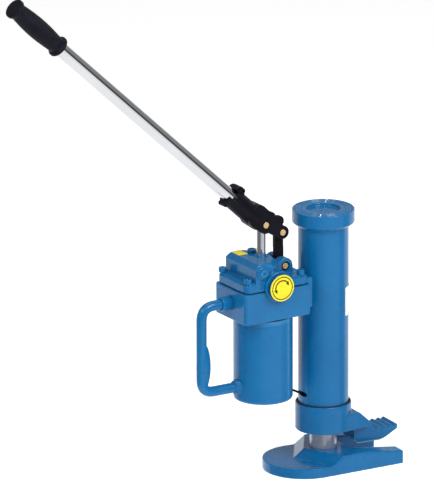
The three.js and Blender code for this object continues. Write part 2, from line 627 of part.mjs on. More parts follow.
function link() {
  const dx = P2.x - P3.x;
  const dz = P2.z - P3.z;
  const y = LINK.halfThickness;
  const half = LINK.halfWidth;
  const bar = sideways(taperedBar(P3.x, P3.z, half, P3.x + dx, P3.z + dz, half), -y, y);
  const eye = LINK.eyeHalf;
  const eyes = [P2, P3].map((place) => alongMinusY(rod(LINK.eyeRadius, -eye, eye), place.x, place.z));
  const middle = P2.x + LINK.slotCentre;
  const slot = sideways(taperedBar(middle - LINK.slotHalfLength, P2.z, PIN.bore + GAP,
    middle + LINK.slotHalfLength, P2.z, PIN.bore + GAP), -eye - 1, eye + 1);
  return cut(join(bar, ...eyes), alongMinusY(rod(PIN.bore, -eye - 1, eye + 1), P3.x, P3.z), slot);
}

// The lever is drawn level, pointing to -X from the plunger pin, then raised to its rest angle.
function raised(solid) {
  return solid.rotate([0, THREE.MathUtils.radToDeg(LEVER_ANGLE), 0]).translate([P1.x, 0, P1.z]);
}

function levelP2() {
  const dx = P2.x - P1.x;
  const dz = P2.z - P1.z;
  return {
    x: dx * Math.cos(LEVER_ANGLE) - dz * Math.sin(LEVER_ANGLE),
    z: dx * Math.sin(LEVER_ANGLE) + dz * Math.cos(LEVER_ANGLE),
  };
}

function cheekBlank() {
  const c = CHEEK;
  const p2 = levelP2();
  const y = c.outer;
  return join(
    sideways(taperedBar(c.rootX, 0, c.rootRadius, 0, 0, c.p1Radius), -y, y),
    sideways(taperedBar(0, 0, c.webRadius, p2.x, p2.z, c.p2Radius), -y, y),
    sideways(taperedBar(c.backX, c.backZ, c.backRadius, c.backEndX, c.backZ, c.backRadius), -y, y),
    sideways(taperedBar(c.backEndX, c.backZ, c.webRadius, c.lobeX, c.lobeZ, c.lobeRadius), -y, y),
    sideways(taperedBar(c.lobeX, p2.z, c.webRadius, p2.x, p2.z, c.webRadius), -y, y));
}

function socketBarrel() {
  const s = SOCKET;
  const barrel = turned([[0, s.mouth], [s.radius - s.edge, s.mouth], [s.radius, s.mouth + s.edge],
    [s.radius, s.start], [0, s.start]], MEDIUM);
  const lug = alongMinusY(rod(s.lugTop - s.bore, -s.lugWidth, s.lugWidth), s.lugX, s.bore);
  const lip = alongMinusY(rod(s.lipRadius, -s.lipWidth, s.lipWidth, MEDIUM), s.lipX, s.lipZ);
  return join(alongX(barrel, 0, 0), lug, lip);
}

function leverSocket() {
  const c = CHEEK;
  const s = SOCKET;
  const p2 = levelP2();
  const forkGap = box(c.gapEnd, p2.x + 30, -c.inner, c.inner, -40, 40);
  const bore = alongX(rod(s.bore, s.mouth - 1, s.boreStart, MEDIUM), 0, 0);
  const slit = box(s.mouth - 1, s.slitStart, -s.slitWidth / 2, s.slitWidth / 2, s.bore - 2, s.lugTop + 1);
  const notch = box(s.mouth - 1, s.notchX, -s.radius - 1, s.radius + 1, s.notchLow, s.notchHigh);
  const clampHole = alongMinusY(rod(s.clampRadius + GAP, -s.lugWidth - 1, s.lugWidth + 1, COARSE), s.lugX,
    s.clampZ);
  const holes = [{ x: 0, z: 0 }, p2].flatMap((place) => [
    alongMinusY(rod(PIN.bore, -c.outer - 1, c.outer + 1), place.x, place.z),
    alongMinusY(rod(PIN.ringSeat, c.outer - PIN.ringDepth, c.outer + 1), place.x, place.z),
    alongMinusY(rod(PIN.ringSeat, -c.outer - 1, PIN.ringDepth - c.outer), place.x, place.z),
  ]);
  return raised(cut(join(cheekBlank(), socketBarrel()), forkGap, bore, slit, notch, clampHole, ...holes));
}

function clampScrew() {
  const s = SOCKET;
  const seat = s.lugWidth + GAP;
  const screw = turned([[0, -seat - 2], [s.clampRadius, -seat - 2], [s.clampRadius, seat],
    [s.clampHeadRadius, seat], [s.clampHeadRadius, seat + s.clampHead], [0, seat + s.clampHead]], COARSE);
  const socket = rod(s.clampRadius, seat + 2, seat + s.clampHead + 1, 6);
  return raised(alongMinusY(cut(screw, socket), s.lugX, s.clampZ));
}

function leverTube() {
  const t = LEVER_TUBE;
  return raised(alongX(ring(t.inner, t.radius, t.end, t.start, MEDIUM), 0, 0));
}

function leverGrip() {
  const g = GRIP;
  const profile = [[g.bore, g.start], [g.flange, g.start], [g.flange, g.start - g.flangeLength]];
  const last = g.end + g.discLength;
  const top = g.start - g.flangeLength - g.lead;
  const bottom = last + g.lead;
  for (let step = 0; step <= g.swellSteps; step += 1) {
    const share = step / g.swellSteps;
    profile.push([g.neck + g.swell * Math.sin(Math.PI * share), top + (bottom - top) * share]);
  }
  profile.push([g.disc, last], [g.disc, g.end + 1], [g.disc - 1, g.end], [g.dimple, g.end],
    [0, g.end + g.dimpleDepth]);
  const body = turned([[0, g.end + g.floor], [g.bore, g.end + g.floor], ...profile], MEDIUM);
  return raised(alongX(body, 0, 0));
}

// ---------------------------------------------------------------- release valve and plugs
function releaseBody() {
  const r = RELEASE;
  return alongMinusY(ring(r.spindleBore, r.bodyRadius, r.bodyBack, r.bodyFront, MEDIUM), r.x, r.z);
}

function releaseSpindle() {
  const r = RELEASE;
  return alongMinusY(rod(r.spindleRadius, r.spindleInner, r.knobBack - GAP, COARSE), r.x, r.z);
}

function releaseKnob() {
  const r = RELEASE;
  return alongMinusY(turned([[0, r.knobBack], [r.knobRadius - 1, r.knobBack], [r.knobRadius, r.knobBack + 1],
    [r.knobRadius, r.knobFront], [0, r.knobFront]], MEDIUM), r.x, r.z);
}

function releaseDisc() {
  const r = RELEASE;
  const back = r.knobFront + GAP;
  return alongMinusY(turned([[0, back], [r.discRadius, back], [r.discRadius, r.discFront - r.discEdge],
    [r.discRadius - r.discEdge, r.discFront], [0, r.discFront]], FINE), r.x, r.z);
}

function fillerPlug() {
  const f = FILLER;
  const plug = turned([[0, f.bottom], [f.radius, f.bottom], [f.radius, f.top - 1], [f.radius - 1, f.top],
    [0, f.top]], MEDIUM);
  return cut(plug, rod(f.socket, f.top - f.socketDepth, f.top + 1, 6)).translate([f.x, f.y, 0]);
}

function reliefPlug() {
  const r = RELIEF;
  const plug = rod(r.radius, r.back, r.front, MEDIUM);
  return alongMinusY(cut(plug, rod(r.socket, r.front - r.socketDepth, r.front + 1, 6)), COVER.bossX, COVER.bossZ);
}

// ---------------------------------------------------------------- handle, stay and labels
function handlePath() {
  const h = HANDLE;
  const point = (x, z) => new THREE.Vector3(x, 0, z);
  const wall = PUMP_X - RESERVOIR.outer - GAP;
  const path = new THREE.CurvePath();
  path.add(new THREE.LineCurve3(point(BLOCK.left - GAP, h.upperZ), point(h.outerX + h.bend, h.upperZ)));
  path.add(new THREE.QuadraticBezierCurve3(point(h.outerX + h.bend, h.upperZ), point(h.outerX, h.upperZ),
    point(h.outerX, h.upperZ - h.bend)));
  path.add(new THREE.LineCurve3(point(h.outerX, h.upperZ - h.bend), point(h.outerX, h.lowerZ + h.bend)));
  path.add(new THREE.QuadraticBezierCurve3(point(h.outerX, h.lowerZ + h.bend), point(h.outerX, h.lowerZ),
    point(h.outerX + h.bend, h.lowerZ)));
  path.add(new THREE.LineCurve3(point(h.outerX + h.bend, h.lowerZ), point(wall, h.lowerZ)));
  return path;
}

function carryingHandle() {
  const h = HANDLE;
  const section = new THREE.Shape().absarc(0, 0, h.radius, 0, 2 * Math.PI, false);
  const bar = toSolid(new THREE.ExtrudeGeometry(section, {
    steps: 30, curveSegments: 7, bevelEnabled: false, extrudePath: handlePath(),
  }));
  const bulge = new THREE.SphereGeometry(1, MEDIUM, COARSE);
  bulge.scale(...h.bulge);
  bulge.translate(h.bulgeX, 0, h.bulgeZ);
  const spigot = alongX(rod(h.spigotRadius, BLOCK.left - 5, h.upperEnd, COARSE), 0, h.upperZ);
  return join(bar, toSolid(bulge), spigot);
}

function handleBoss() {
  const h = HANDLE;
  const edge = 2;
  const face = BLOCK.left - GAP;
  return alongX(turned([[h.radius + GAP, h.bossLeft], [h.bossRadius - edge, h.bossLeft],
    [h.bossRadius, h.bossLeft + edge], [h.bossRadius, face], [h.radius + GAP, face]], MEDIUM), 0, h.upperZ);
}

function handleWeld() {
  const h = HANDLE;
  const wall = PUMP_X - RESERVOIR.outer;
  const fillet = alongX(turned([[h.radius + GAP, h.weldLeft], [h.weldNeck, h.weldLeft],
    [h.weldRadius, wall], [h.weldRadius, wall + 8], [h.radius + GAP, wall + 8]], MEDIUM), 0, h.lowerZ);
  const body = rod(RESERVOIR.outer + GAP, RESERVOIR.bottom - 9, RESERVOIR.top, FINE).translate([PUMP_X, 0, 0]);
  return cut(fillet, body);
}

function stayRod() {
  const s = STAY;
  const dx = s.toX - s.fromX;
  const dz = s.toZ - s.fromZ;
  const lean = THREE.MathUtils.radToDeg(Math.atan2(dz, dx));
  return rod(s.radius, 0, Math.hypot(dx, dz), COARSE).rotate([0, 90 - lean, 0]).translate([s.fromX, 0, s.fromZ]);
}

function whiteLabel() {
  const w = WHITE_LABEL;
  const from = THREE.MathUtils.degToRad(w.from);
  const to = THREE.MathUtils.degToRad(w.to);
  const shape = new THREE.Shape();
  shape.absarc(0, 0, w.outer, from, to, false);
  shape.absarc(0, 0, w.inner, to, from, true);
  return upright(shape, w.bottom, w.top, w.steps);
}

function yellowLabel() {
  const y = YELLOW_LABEL;
  return box(y.left, y.right, y.front, y.back, y.bottom, y.top);
}

// ---------------------------------------------------------------- the whole jack
const jack = new THREE.Group();
jack.name = 'hydraulic_toe_jack';

function place(name, solid, kind) {
  const mesh = new THREE.Mesh(toGeometry(solid), material(kind));
  mesh.name = name;
  jack.add(mesh);
}

place('base_plate', basePlate(), 'blue');
place('piston_rod', pistonRod(), 'chrome');
place('piston_head', pistonHead(), 'steel');
place('piston_seal', pistonSeal(), 'rubber');
place('piston_nut', pistonNut(), 'steel');

place('claw', claw(), 'blue');
place('collar_ring', collarRing(), 'rubber');

place('cylinder_tube', cylinderTube(), 'blue');
place('cylinder_liner', cylinderLiner(), 'steel');
place('annulus_ring', annulusRing(), 'rubber');
place('gland_nut', glandNut(), 'steel');
place('rod_seal', rodSeal(), 'rubber');
place('rod_wiper', rodWiper(), 'rubber');
place('head_cap', headCap(), 'blue');
place('cap_seal', capSeal(), 'rubber');

place('pump_block', pumpBlock(), 'blue');
place('pump_gasket', pumpGasket(), 'rubber');
place('pump_cover', pumpCover(), 'blue');
screwPlaces().forEach(([x, y], i) => place(`cover_screw_${i + 1}`, coverScrew(x, y), 'blue'));
place('pump_bracket', pumpBracket(), 'blue');
place('reservoir', reservoir(), 'blue');
place('reservoir_seal', reservoirSeal(), 'rubber');

place('pump_barrel', pumpBarrel(), 'steel');
place('suction_strainer', suctionStrainer(), 'steel');
place('suction_ball', ball(SUCTION_BALL.radius, PLUNGER_X, 0, SUCTION_BALL.z), 'steel');
place('delivery_ball', ball(DELIVERY_BALL.radius, DELIVERY_BALL.x, 0, TUBE.portZ), 'steel');
place('delivery_plug', deliveryPlug(), 'steel');
place('plunger_seal', plungerSeal(), 'rubber');
place('plunger_gland', plungerGland(), 'blue');
place('plunger', plunger(), 'chrome');

place('link', link(), 'black');
place('pin_plunger', pin(P1, CHEEK.outer), 'brass');
place('pin_link', pin(P2, CHEEK.outer), 'brass');
place('pin_ear', pin(P3, COVER.earOuter), 'brass');
for (const [name, spot, face] of [['plunger', P1, CHEEK.outer], ['link', P2, CHEEK.outer],
  ['ear', P3, COVER.earOuter]]) {
  place(`${name}_ring_front`, pinRing(spot, face, 1), 'black');
  place(`${name}_ring_back`, pinRing(spot, face, -1), 'black');
}
place('lever_socket', leverSocket(), 'black');
place('clamp_screw', clampScrew(), 'black');
place('lever_tube', leverTube(), 'chrome');
place('lever_grip', leverGrip(), 'rubber');

place('release_body', releaseBody(), 'blue');
place('release_spindle', releaseSpindle(), 'steel');
place('release_knob', releaseKnob(), 'blue');
place('release_disc', releaseDisc(), 'yellow');
place('filler_plug', fillerPlug(), 'blue');
place('relief_plug', reliefPlug(), 'blue');

place('carrying_handle', carryingHandle(), 'blue');
place('handle_boss', handleBoss(), 'blue');
place('handle_weld', handleWeld(), 'blue');
place('stay_rod', stayRod(), 'black');
place('white_label', whiteLabel(), 'white');
place('yellow_label', yellowLabel(), 'yellow');

export default jack;
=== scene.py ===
import json
import math
from types import SimpleNamespace as Sizes

import bmesh
import bpy
from mathutils import Matrix, Vector

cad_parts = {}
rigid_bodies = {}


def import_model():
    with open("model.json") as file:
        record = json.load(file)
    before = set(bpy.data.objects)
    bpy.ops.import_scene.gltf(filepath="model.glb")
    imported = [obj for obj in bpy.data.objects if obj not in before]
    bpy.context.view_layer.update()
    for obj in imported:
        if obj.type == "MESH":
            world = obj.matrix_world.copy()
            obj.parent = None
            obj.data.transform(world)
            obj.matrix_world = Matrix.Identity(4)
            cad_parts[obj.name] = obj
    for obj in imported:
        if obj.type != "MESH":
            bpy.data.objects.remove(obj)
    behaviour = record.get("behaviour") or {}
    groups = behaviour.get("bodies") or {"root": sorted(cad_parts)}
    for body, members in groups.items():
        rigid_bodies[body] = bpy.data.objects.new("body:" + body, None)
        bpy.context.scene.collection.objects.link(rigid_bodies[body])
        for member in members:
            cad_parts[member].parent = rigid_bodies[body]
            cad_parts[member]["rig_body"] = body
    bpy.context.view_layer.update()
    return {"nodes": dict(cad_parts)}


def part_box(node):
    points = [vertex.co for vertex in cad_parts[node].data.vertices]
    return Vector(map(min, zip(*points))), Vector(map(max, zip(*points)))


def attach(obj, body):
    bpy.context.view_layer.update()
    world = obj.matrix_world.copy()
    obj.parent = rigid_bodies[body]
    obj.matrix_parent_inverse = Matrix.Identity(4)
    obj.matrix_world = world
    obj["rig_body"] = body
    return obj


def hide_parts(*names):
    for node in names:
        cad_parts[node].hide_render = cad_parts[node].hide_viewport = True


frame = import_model()

MM = 0.001
GAP = 0.3     # clearance between pieces that face each other
OVER = 1.0    # how far a cutting tool reaches past the face it cuts
FAR = 5.0     # the same past a face whose edges are rounded
TINY = 1e-3   # keeps the two radii of an even bar apart
MERGE = 1e-4  # points closer than this are one point


class Span:
    """A CAD node's box in millimetres."""

    def __init__(self, node):
        low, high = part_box(node)
        self.low = low / MM
        self.high = high / MM
        self.mid = (self.low + self.high) / 2
        self.size = self.high - self.low
        self.radius = self.size.x / 2


# ---- sizes
ROUND = 128
SMALL_ROUND = 64
HEXAGON = 6
BAR_STEPS = 40
FILLET_STEPS = 5
FILLET_SHARE = 0.45    # the most that a rounded corner takes of the lines beside it
BEVEL_ANGLE = math.radians(40)

BASE = Sizes(
    heel_centre=-36.5, heel_radius=70.5, heel_height=17.4, tip_x=118.5, tip_half=64.0, tip_height=22.5,
    top=32.0, slope_start=40.0, yaw=math.radians(-3.5), vee_foot=-58.0, vee_top=-37.5, vee_lean=0.58,
    reach=96.0, slot_start=33.0, slot_half=36.5, slot_corner=14.0, socket_floor=18.0, heel_steps=96,
    voxel=0.95, passes=8,
)
CLAW = Sizes(
    wall=1.4, ring_proud=0.9, rim=2.2, bore=43.0, floor_top=76.0, throat=34.3,
    ring_seat_radius=46.3, ring_seat=108.0, ring_edge=1.2,
    arm_x=71.5, arm_half=34.0, arm_top=72.5, shoulder_x=50.0, shoulder_half=38.0, shoulder_top=92.0,
    root_half=46.4, gland_seat=40.3, gland_top=69.0, voxel=0.75, passes=7,
)
TOE = Sizes(
    half=23.5, heel_x=46.0, heel_z=42.5, sole_x=56.6, sole=31.7, sole_end=97.5, sole_edge=4.0, tip_x=129.3,
    tip_low=48.6, crest=56.8, land_x=125.3, valley=53.2, pitch=11.65, teeth=3, root_x=30.0,
)
ROD = Sizes(shoulder=343.7, spigot=14.0, edge=1.5)
CAP = Sizes(
    cone_bottom=420.0, skirt_inner=42.8, skirt_outer=43.8, rim_bottom=427.0, seat=432.0, plug=37.2,
    recess_lip=33.0, recess_radius=29.0, recess_floor=27.5, recess_depth=5.0, recess_edge=1.2,
    dimple_rim=5.2, dimple_floor=2.2, dimple_depth=2.0,
    grooves=(48.0, 43.0, 38.0), groove_half=1.2, groove_floor_half=0.4, groove_depth=1.2, edge=1.4,
)
TUBE = Sizes(inner=37.5, slot_z=130.0, slot_height=8.0, slot_length=26.0, edge=0.8)
BLOCK = Sizes(corner=8.0, edge=2.0, sump_radius=44.0, sump_depth=11.0, barrel_hole=13.3)
GASKET = Sizes(inset=1.8, edge=0.25)
COVER = Sizes(
    corner=11.0, flange_top=355.5, flange_edge=3.0, head_left=-163.0, head_right=-108.0, head_half=48.0,
    head_top=386.0, head_corner=20.0, chamfer=7.0, sunk=2.0, ear_inner=8.0, ear_outer=23.0,
    ear_radius=14.0, ear_foot=346.0, ear_foot_radius=16.0, web_top=8.0, boss_x=-151.0, boss_z=373.0,
    boss_radius=11.0, boss_root=42.0, boss_face=53.0, boss_edge=2.0, gland_hole=11.3, gland_hole_top=400.0,
    link_room=13.0, link_room_right=18.0, link_room_top=40.0, trim=60.0, voxel=0.75, passes=6,
)
HOUSING = Sizes(radius=26.0, front=55.0, root=26.0, edge=3.0, margin=2.0)
SCREW = Sizes(edge=1.0, shank=4.0, socket=3.4, socket_depth=4.5, socket_lip=4.6, dish=0.02)
BRACKET_EDGE = 3.0
RESERVOIR = Sizes(edge=6.0, seam_drop=9.0, seam_depth=0.5, seam_half=1.4, mouth_step=2.4, floor=5.0)
GLAND = Sizes(bore=8.0, edge=0.9, notch_half=1.4, notch_depth=1.6)
PLUNGER = Sizes(radius=7.65, edge=0.8, eye_edge=1.0)
FILLER = Sizes(edge=1.2, socket=3.5, socket_depth=2.5)
RELIEF = Sizes(edge=0.6, socket=3.4, socket_depth=1.4)
P1 = Span("pin_plunger").mid
P2 = Span("pin_link").mid
P3 = Span("pin_ear").mid
PIN = Sizes(
    bore=5.6, seat=8.0, seat_depth=2.2, edge=0.8, centre_radius=1.4, centre_depth=0.6, ring_slit=1.8,
    ring_edge=0.5,
)
LEVER_ANGLE = math.radians(43.1)
CHEEK = Sizes(
    outer=17.0, inner=8.6, p1_radius=15.0, p2_radius=11.5, lobe_x=16.6, lobe_z=19.4, lobe_radius=9.5,
    root_x=-20.0, root_radius=17.5, gap_end=-15.0, web_radius=9.5, back_x=-26.0, back_end_x=2.0, back_z=9.0,
    back_radius=13.0, voxel=0.55, passes=4,
)
SOCKET = Sizes(
    radius=17.8, start=-14.0, mouth=-90.0, bore=12.8, bore_start=-24.0, edge=2.0, notch_x=-81.5,
    notch_low=-4.0, notch_high=13.0, notch_margin=3.0, slit_width=3.4, slit_start=-55.0, slit_sunk=2.0,
    lug_half=12.0, lug_top=23.5, lug_x=-79.5, lip_radius=4.0, lip_x=-86.0, lip_z=-17.5, lip_half=10.0,
    lip_edge=1.5, fork_reach=30.0, fork_half=40.0,
)
CLAMP = Sizes(
    radius=2.7, head_radius=4.5, head=4.5, z=18.0, seat=12.3, tail=-14.3, socket_floor=14.3, edge=0.6,
)
LEVER_TUBE = Sizes(radius=12.5, inner=10.0, start=-24.5, end=-655.0, edge=0.7)
GRIP = Sizes(
    start=-540.0, end=-659.0, bore=12.8, neck=14.2, swell=3.4, flange=18.6, flange_length=5.0, disc=17.6,
    disc_length=6.0, lead=2.0, dimple=3.0, dimple_depth=1.5, floor=3.0, flange_edge=1.6, disc_edge=1.4,
    knurls=33, knurl_pitch=2.9, knurl_depth=0.6, knurl_margin=5.0, knurl_fade=2.0, columns=264, row=0.42,
)
LINK = Sizes(
    half_width=8.5, half_thickness=3.5, eye_half=4.5, eye=11.3, slot_half=2.6, slot_centre=1.05,
    voxel=0.5, passes=3,
)
DISC = Sizes(
    edge=0.8, ring=19.2, ring_half=0.8, arrow_radius=13.2, arrow_half=1.1, arrow_from=42.0, arrow_to=190.0,
    head_length=7.0, head_half=3.2, head_notch=0.05, print_height=0.12, steps=48,
)
VALVE_BOSS = Sizes(bore=4.3, edge=0.8)
KNOB = Sizes(edge=1.2, serrations=36, serration_depth=0.5)
RIPPLE_STEPS = 8
HANDLE = Sizes(
    radius=8.8, bulge_x=-236.8, bulge_z=210.0, bulge=(13.0, 9.8, 42.0), outer_x=-240.6, upper_z=314.0,
    lower_z=164.0, bend=24.0, steps=20, voxel=0.8, passes=10, boss_edge=2.2,
)
WELD = Sizes(
    neck=10.2, shoulder=11.5, shoulder_reach=3.5, radius=13.5, crown=1.0, depth=8.0, edge=2.5, ripples=26,
    ripple_depth=0.5,
)
STAY = Sizes(inset=0.4, edge=0.5, nut_proud=1.6, nut_start=3.0, nut_end=6.0)
WHITE_LABEL = Sizes(
    radius=43.1, from_angle=math.radians(-63.0), to_angle=math.radians(5.0), corner=3.0, steps=24,
)
YELLOW_LABEL = Sizes(corner=1.5, edge=0.1)


# ---- outlines
def arc(x, y, radius, start, end, steps=24):
    angles = [start + (end - start) * step / steps for step in range(steps + 1)]
    return [(x + radius * math.cos(a), y + radius * math.sin(a)) for a in angles]


def rounded_rectangle(x0, x1, y0, y1, radius, steps=10):
    quarter = math.pi / 2
    centres = [(x1 - radius, y0 + radius), (x1 - radius, y1 - radius),
               (x0 + radius, y1 - radius), (x0 + radius, y0 + radius)]
    outline = []
    for turn, (x, y) in enumerate(centres):
        outline += arc(x, y, radius, (turn - 1) * quarter, turn * quarter, steps)
    return outline


def tapered_bar(x0, y0, r0, x1, y1, r1):
    """Two circles joined by their outer tangents."""
    along = math.atan2(y1 - y0, x1 - x0)
    lean = math.acos((r0 - r1) / math.hypot(x1 - x0, y1 - y0))
    return (arc(x0, y0, r0, along + lean, along - lean + 2 * math.pi, BAR_STEPS)
            + arc(x1, y1, r1, along - lean, along + lean, BAR_STEPS))


def bend(start, corner, end, steps):
    """Points on a smooth turn from start to end that leans towards the corner."""
    start, corner, end = Vector(start), Vector(corner), Vector(end)
    return [start * (1 - u) ** 2 + corner * (2 * u * (1 - u)) + end * u * u
            for u in (step / steps for step in range(steps + 1))]


def softened(line, radius, closed=False):
    """The same line with its corners rounded off."""
    count = len(line)
    soft = []
    for i, point in enumerate(line):
        if not closed and i in (0, count - 1):
            soft.append(point)
            continue
        here = Vector(point)
        before = Vector(line[i - 1]) - here
        after = Vector(line[(i + 1) % count]) - here
        reach = min(radius, before.length * FILLET_SHARE, after.length * FILLET_SHARE)
        start = here + before.normalized() * reach
        end = here + after.normalized() * reach
        soft += [tuple(spot) for spot in bend(start, here, end, FILLET_STEPS)]
    return soft


# ---- solids
def added(name, data):
    """A new object of the scene that shows this mesh, camera or lamp."""
    obj = bpy.data.objects.new(name, data)
    bpy.context.scene.collection.objects.link(obj)
    return obj


def closed_form(form, mesh):
    """Turns the form's faces outwards and makes an object of it."""
    bmesh.ops.recalc_face_normals(form, faces=form.faces)
    form.to_mesh(mesh)
    form.free()
    return added("solid", mesh)


def solid(points, faces):
    """A closed mesh object in millimetres."""
    mesh = bpy.data.meshes.new("solid")
    mesh.from_pydata([tuple(point) for point in points], [], faces)
    form = bmesh.new()
    form.from_mesh(mesh)
    bmesh.ops.remove_doubles(form, verts=form.verts, dist=MERGE)
    return closed_form(form, mesh)


def turned(profile, segments=ROUND, ripple=None):
    """Solid of revolution about Z. The profile is a line of (radius, height), closed on itself
    unless it starts and ends on the axis. ripple(angle, height) is added to the radius."""
    points = []
    rings = []
    for radius, height in profile:
        first = len(points)
        if radius < MERGE:
            points.append((0.0, 0.0, height))
            rings.append([first] * segments)
            continue
        for i in range(segments):
            angle = 2 * math.pi * i / segments
            reach = radius + (ripple(angle, height) if ripple else 0.0)
            points.append((reach * math.cos(angle), reach * math.sin(angle), height))
        rings.append(list(range(first, first + segments)))
    pairs = list(zip(rings, rings[1:]))
    if profile[0][0] > MERGE:
        pairs.append((rings[-1], rings[0]))
    faces = []
    for lower, upper in pairs:
        for i in range(segments):
            j = (i + 1) % segments
            corners = list(dict.fromkeys([lower[i], lower[j], upper[j], upper[i]]))
            if len(corners) > 2:
                faces.append(corners)
    return solid(points, faces)


def rod(radius, bottom, top, segments=SMALL_ROUND, edge=0.0):
    line = [(0.0, bottom), (radius, bottom), (radius, top), (0.0, top)]
    return turned(softened(line, edge) if edge else line, segments)


def ring(inner, outer, bottom, top, edge=0.0, segments=ROUND):
    line = [(inner, bottom), (outer, bottom), (outer, top), (inner, top)]
    return turned(softened(line, edge, closed=True) if edge else line, segments)


def prism(outline, bottom, top):
    count = len(outline)
    points = [(x, y, z) for z in (bottom, top) for x, y in outline]
    faces = [list(range(count)), list(range(count, 2 * count))]
    faces += [[i, (i + 1) % count, count + (i + 1) % count, count + i] for i in range(count)]
    return solid(points, faces)


def slab(span, corner, inset=0.0):
    """Upright block with rounded corners that fills a CAD node's box up to the inset."""
    outline = rounded_rectangle(span.low.x + inset, span.high.x - inset, span.low.y + inset,
                                span.high.y - inset, corner)
    return prism(outline, span.low.z, span.high.z)


def side_prism(outline, y0, y1):
    """Prism along Y whose outline is drawn as (x, z)."""
    upright = prism(outline, y0, y1)
    upright.data.transform(Matrix(((1, 0, 0, 0), (0, 0, 1, 0), (0, 1, 0, 0), (0, 0, 0, 1))))
    upright.data.flip_normals()
    return upright


def block(x0, x1, y0, y1, z0, z1):
    return prism([(x0, y0), (x1, y0), (x1, y1), (x0, y1)], z0, z1)


def mirrored_hull(points):
    """Convex solid over a list of points mirrored in Y."""
    form = bmesh.new()
    for x, y, z in points:
        form.verts.new((x, y, z))
        form.verts.new((x, -y, z))
    bmesh.ops.remove_doubles(form, verts=form.verts, dist=MERGE)
    hull = bmesh.ops.convex_hull(form, input=form.verts)
    bmesh.ops.delete(form, geom=hull["geom_interior"], context="VERTS")
    return closed_form(form, bpy.data.meshes.new("hull"))


# A turned solid laid down: its axis runs along -Y or along X instead of Z.
def along_minus_y(obj, x, z):
    obj.data.transform(Matrix.Translation((x, 0, z)) @ Matrix.Rotation(math.pi / 2, 4, "X"))
    return obj


def along_x(obj, y, z):
    obj.data.transform(Matrix.Translation((0, y, z)) @ Matrix.Rotation(math.pi / 2, 4, "Y"))
    return obj


def moved(obj, x, y, z=0.0):
    obj.data.transform(Matrix.Translation((x, y, z)))
    return obj


def hex_cut(obj, sizes, top):
    """Sinks a hexagon socket into the upper face of a screw or plug."""
    return cut(obj, rod(sizes.socket, top - sizes.socket_depth, top + OVER, HEXAGON))


def socket_plug(radius, bottom, top, sizes):
    return hex_cut(rod(radius, bottom, top, SMALL_ROUND, sizes.edge), sizes, top)


def pin_tools(outer, x, z):
    """Tools that bore a pin's hole through two cheeks and sink the seats of its rings."""
    seat, floor = PIN.seat, outer - PIN.seat_depth
    return [along_minus_y(rod(radius, low, high), x, z) for radius, low, high in (
        (PIN.bore, -outer - OVER, outer + OVER),
        (seat, floor, outer + OVER),
        (seat, -outer - OVER, -floor))]


def raised(obj):
    """The lever is drawn level, pointing to -X from its pin, then raised to its rest angle."""
    obj.data.transform(Matrix.Translation((P1.x, 0, P1.z)) @ Matrix.Rotation(LEVER_ANGLE, 4, "Y"))
    return obj


def discard(obj):
    bpy.data.objects.remove(obj)


def settled(obj):
    """Applies the object's modifiers to its mesh."""
    graph = bpy.context.evaluated_depsgraph_get()
    mesh = bpy.data.meshes.new_from_object(obj.evaluated_get(graph))
    obj.modifiers.clear()
    obj.data = mesh
    return obj


def combined(obj, others, operation):
    for other in others:
        modifier = obj.modifiers.new("combine", "BOOLEAN")
        modifier.operation = operation
        modifier.solver = "EXACT"
        modifier.object = other
    settled(obj)
    for other in others:
        discard(other)
    return obj


def joined(obj, *others):
    return combined(obj, others, "UNION")


def cut(obj, *tools):
    return combined(obj, tools, "DIFFERENCE")


def overlap(obj, other):
    return combined(obj, [other], "INTERSECT")


def cast(obj, voxel, passes):
    """Rounds all edges and inner corners as a casting or forging has them."""
    skin = obj.modifiers.new("skin", "REMESH")
    skin.mode = "VOXEL"
    skin.voxel_size = voxel
    smooth = obj.modifiers.new("smooth", "SMOOTH")
    smooth.factor = 0.5
    smooth.iterations = passes
    return settled(obj)


def eased(obj, width, segments=3):
    """Rounds the sharp edges of a machined piece."""
    bevel = obj.modifiers.new("edges", "BEVEL")
    bevel.width = width
    bevel.segments = segments
    bevel.limit_method = "ANGLE"
    bevel.angle_limit = BEVEL_ANGLE
    return settled(obj)


# ---- finishes
class Tree:
    """Short hand for building a node tree."""

    def __init__(self, owner):
        owner.use_nodes = True
        self.tree = owner.node_tree

    def node(self, kind, **settings):
        made = self.tree.nodes.new(kind)
        for name, value in settings.items():
            setattr(made, name, value)
        return made

    def link(self, source, target):
        self.tree.links.new(source, target)

    def ranged(self, source, low, high, from_low=0.3, from_high=0.7, kind="LINEAR"):
        span = self.node("ShaderNodeMapRange", interpolation_type=kind)
        span.inputs["From Min"].default_value = from_low
        span.inputs["From Max"].default_value = from_high
        span.inputs["To Min"].default_value = low
        span.inputs["To Max"].default_value = high
        self.link(source, span.inputs["Value"])
        return span.outputs["Result"]

    def blend(self, factor, first, second):
        mix = self.node("ShaderNodeMix", data_type="RGBA")
        self.link(factor, mix.inputs["Factor"])
        for socket, value in ((mix.inputs[6], first), (mix.inputs[7], second)):
            if isinstance(value, tuple):
                socket.default_value = (*value, 1.0)
            else:
                self.link(value, socket)
        return mix.outputs[2]

    def ramp(self, factor, stops):
        made = self.node("ShaderNodeValToRGB")
        elements = made.color_ramp.elements
        for index, (place_at, level) in enumerate(stops):
            element = elements[index] if index < len(elements) else elements.new(place_at)
            element.position = place_at
            element.color = (level, level, level * BLUE_CAST, 1.0)
        self.link(factor, made.inputs["Fac"])
        return made.outputs["Color"]

    def math(self, operation, first, second):
        made = self.node("ShaderNodeMath", operation=operation)
        for socket, value in zip(made.inputs, (first, second)):
            if isinstance(value, float):
                socket.default_value = value
            else:
                self.link(value, socket)
        return made.outputs[0]


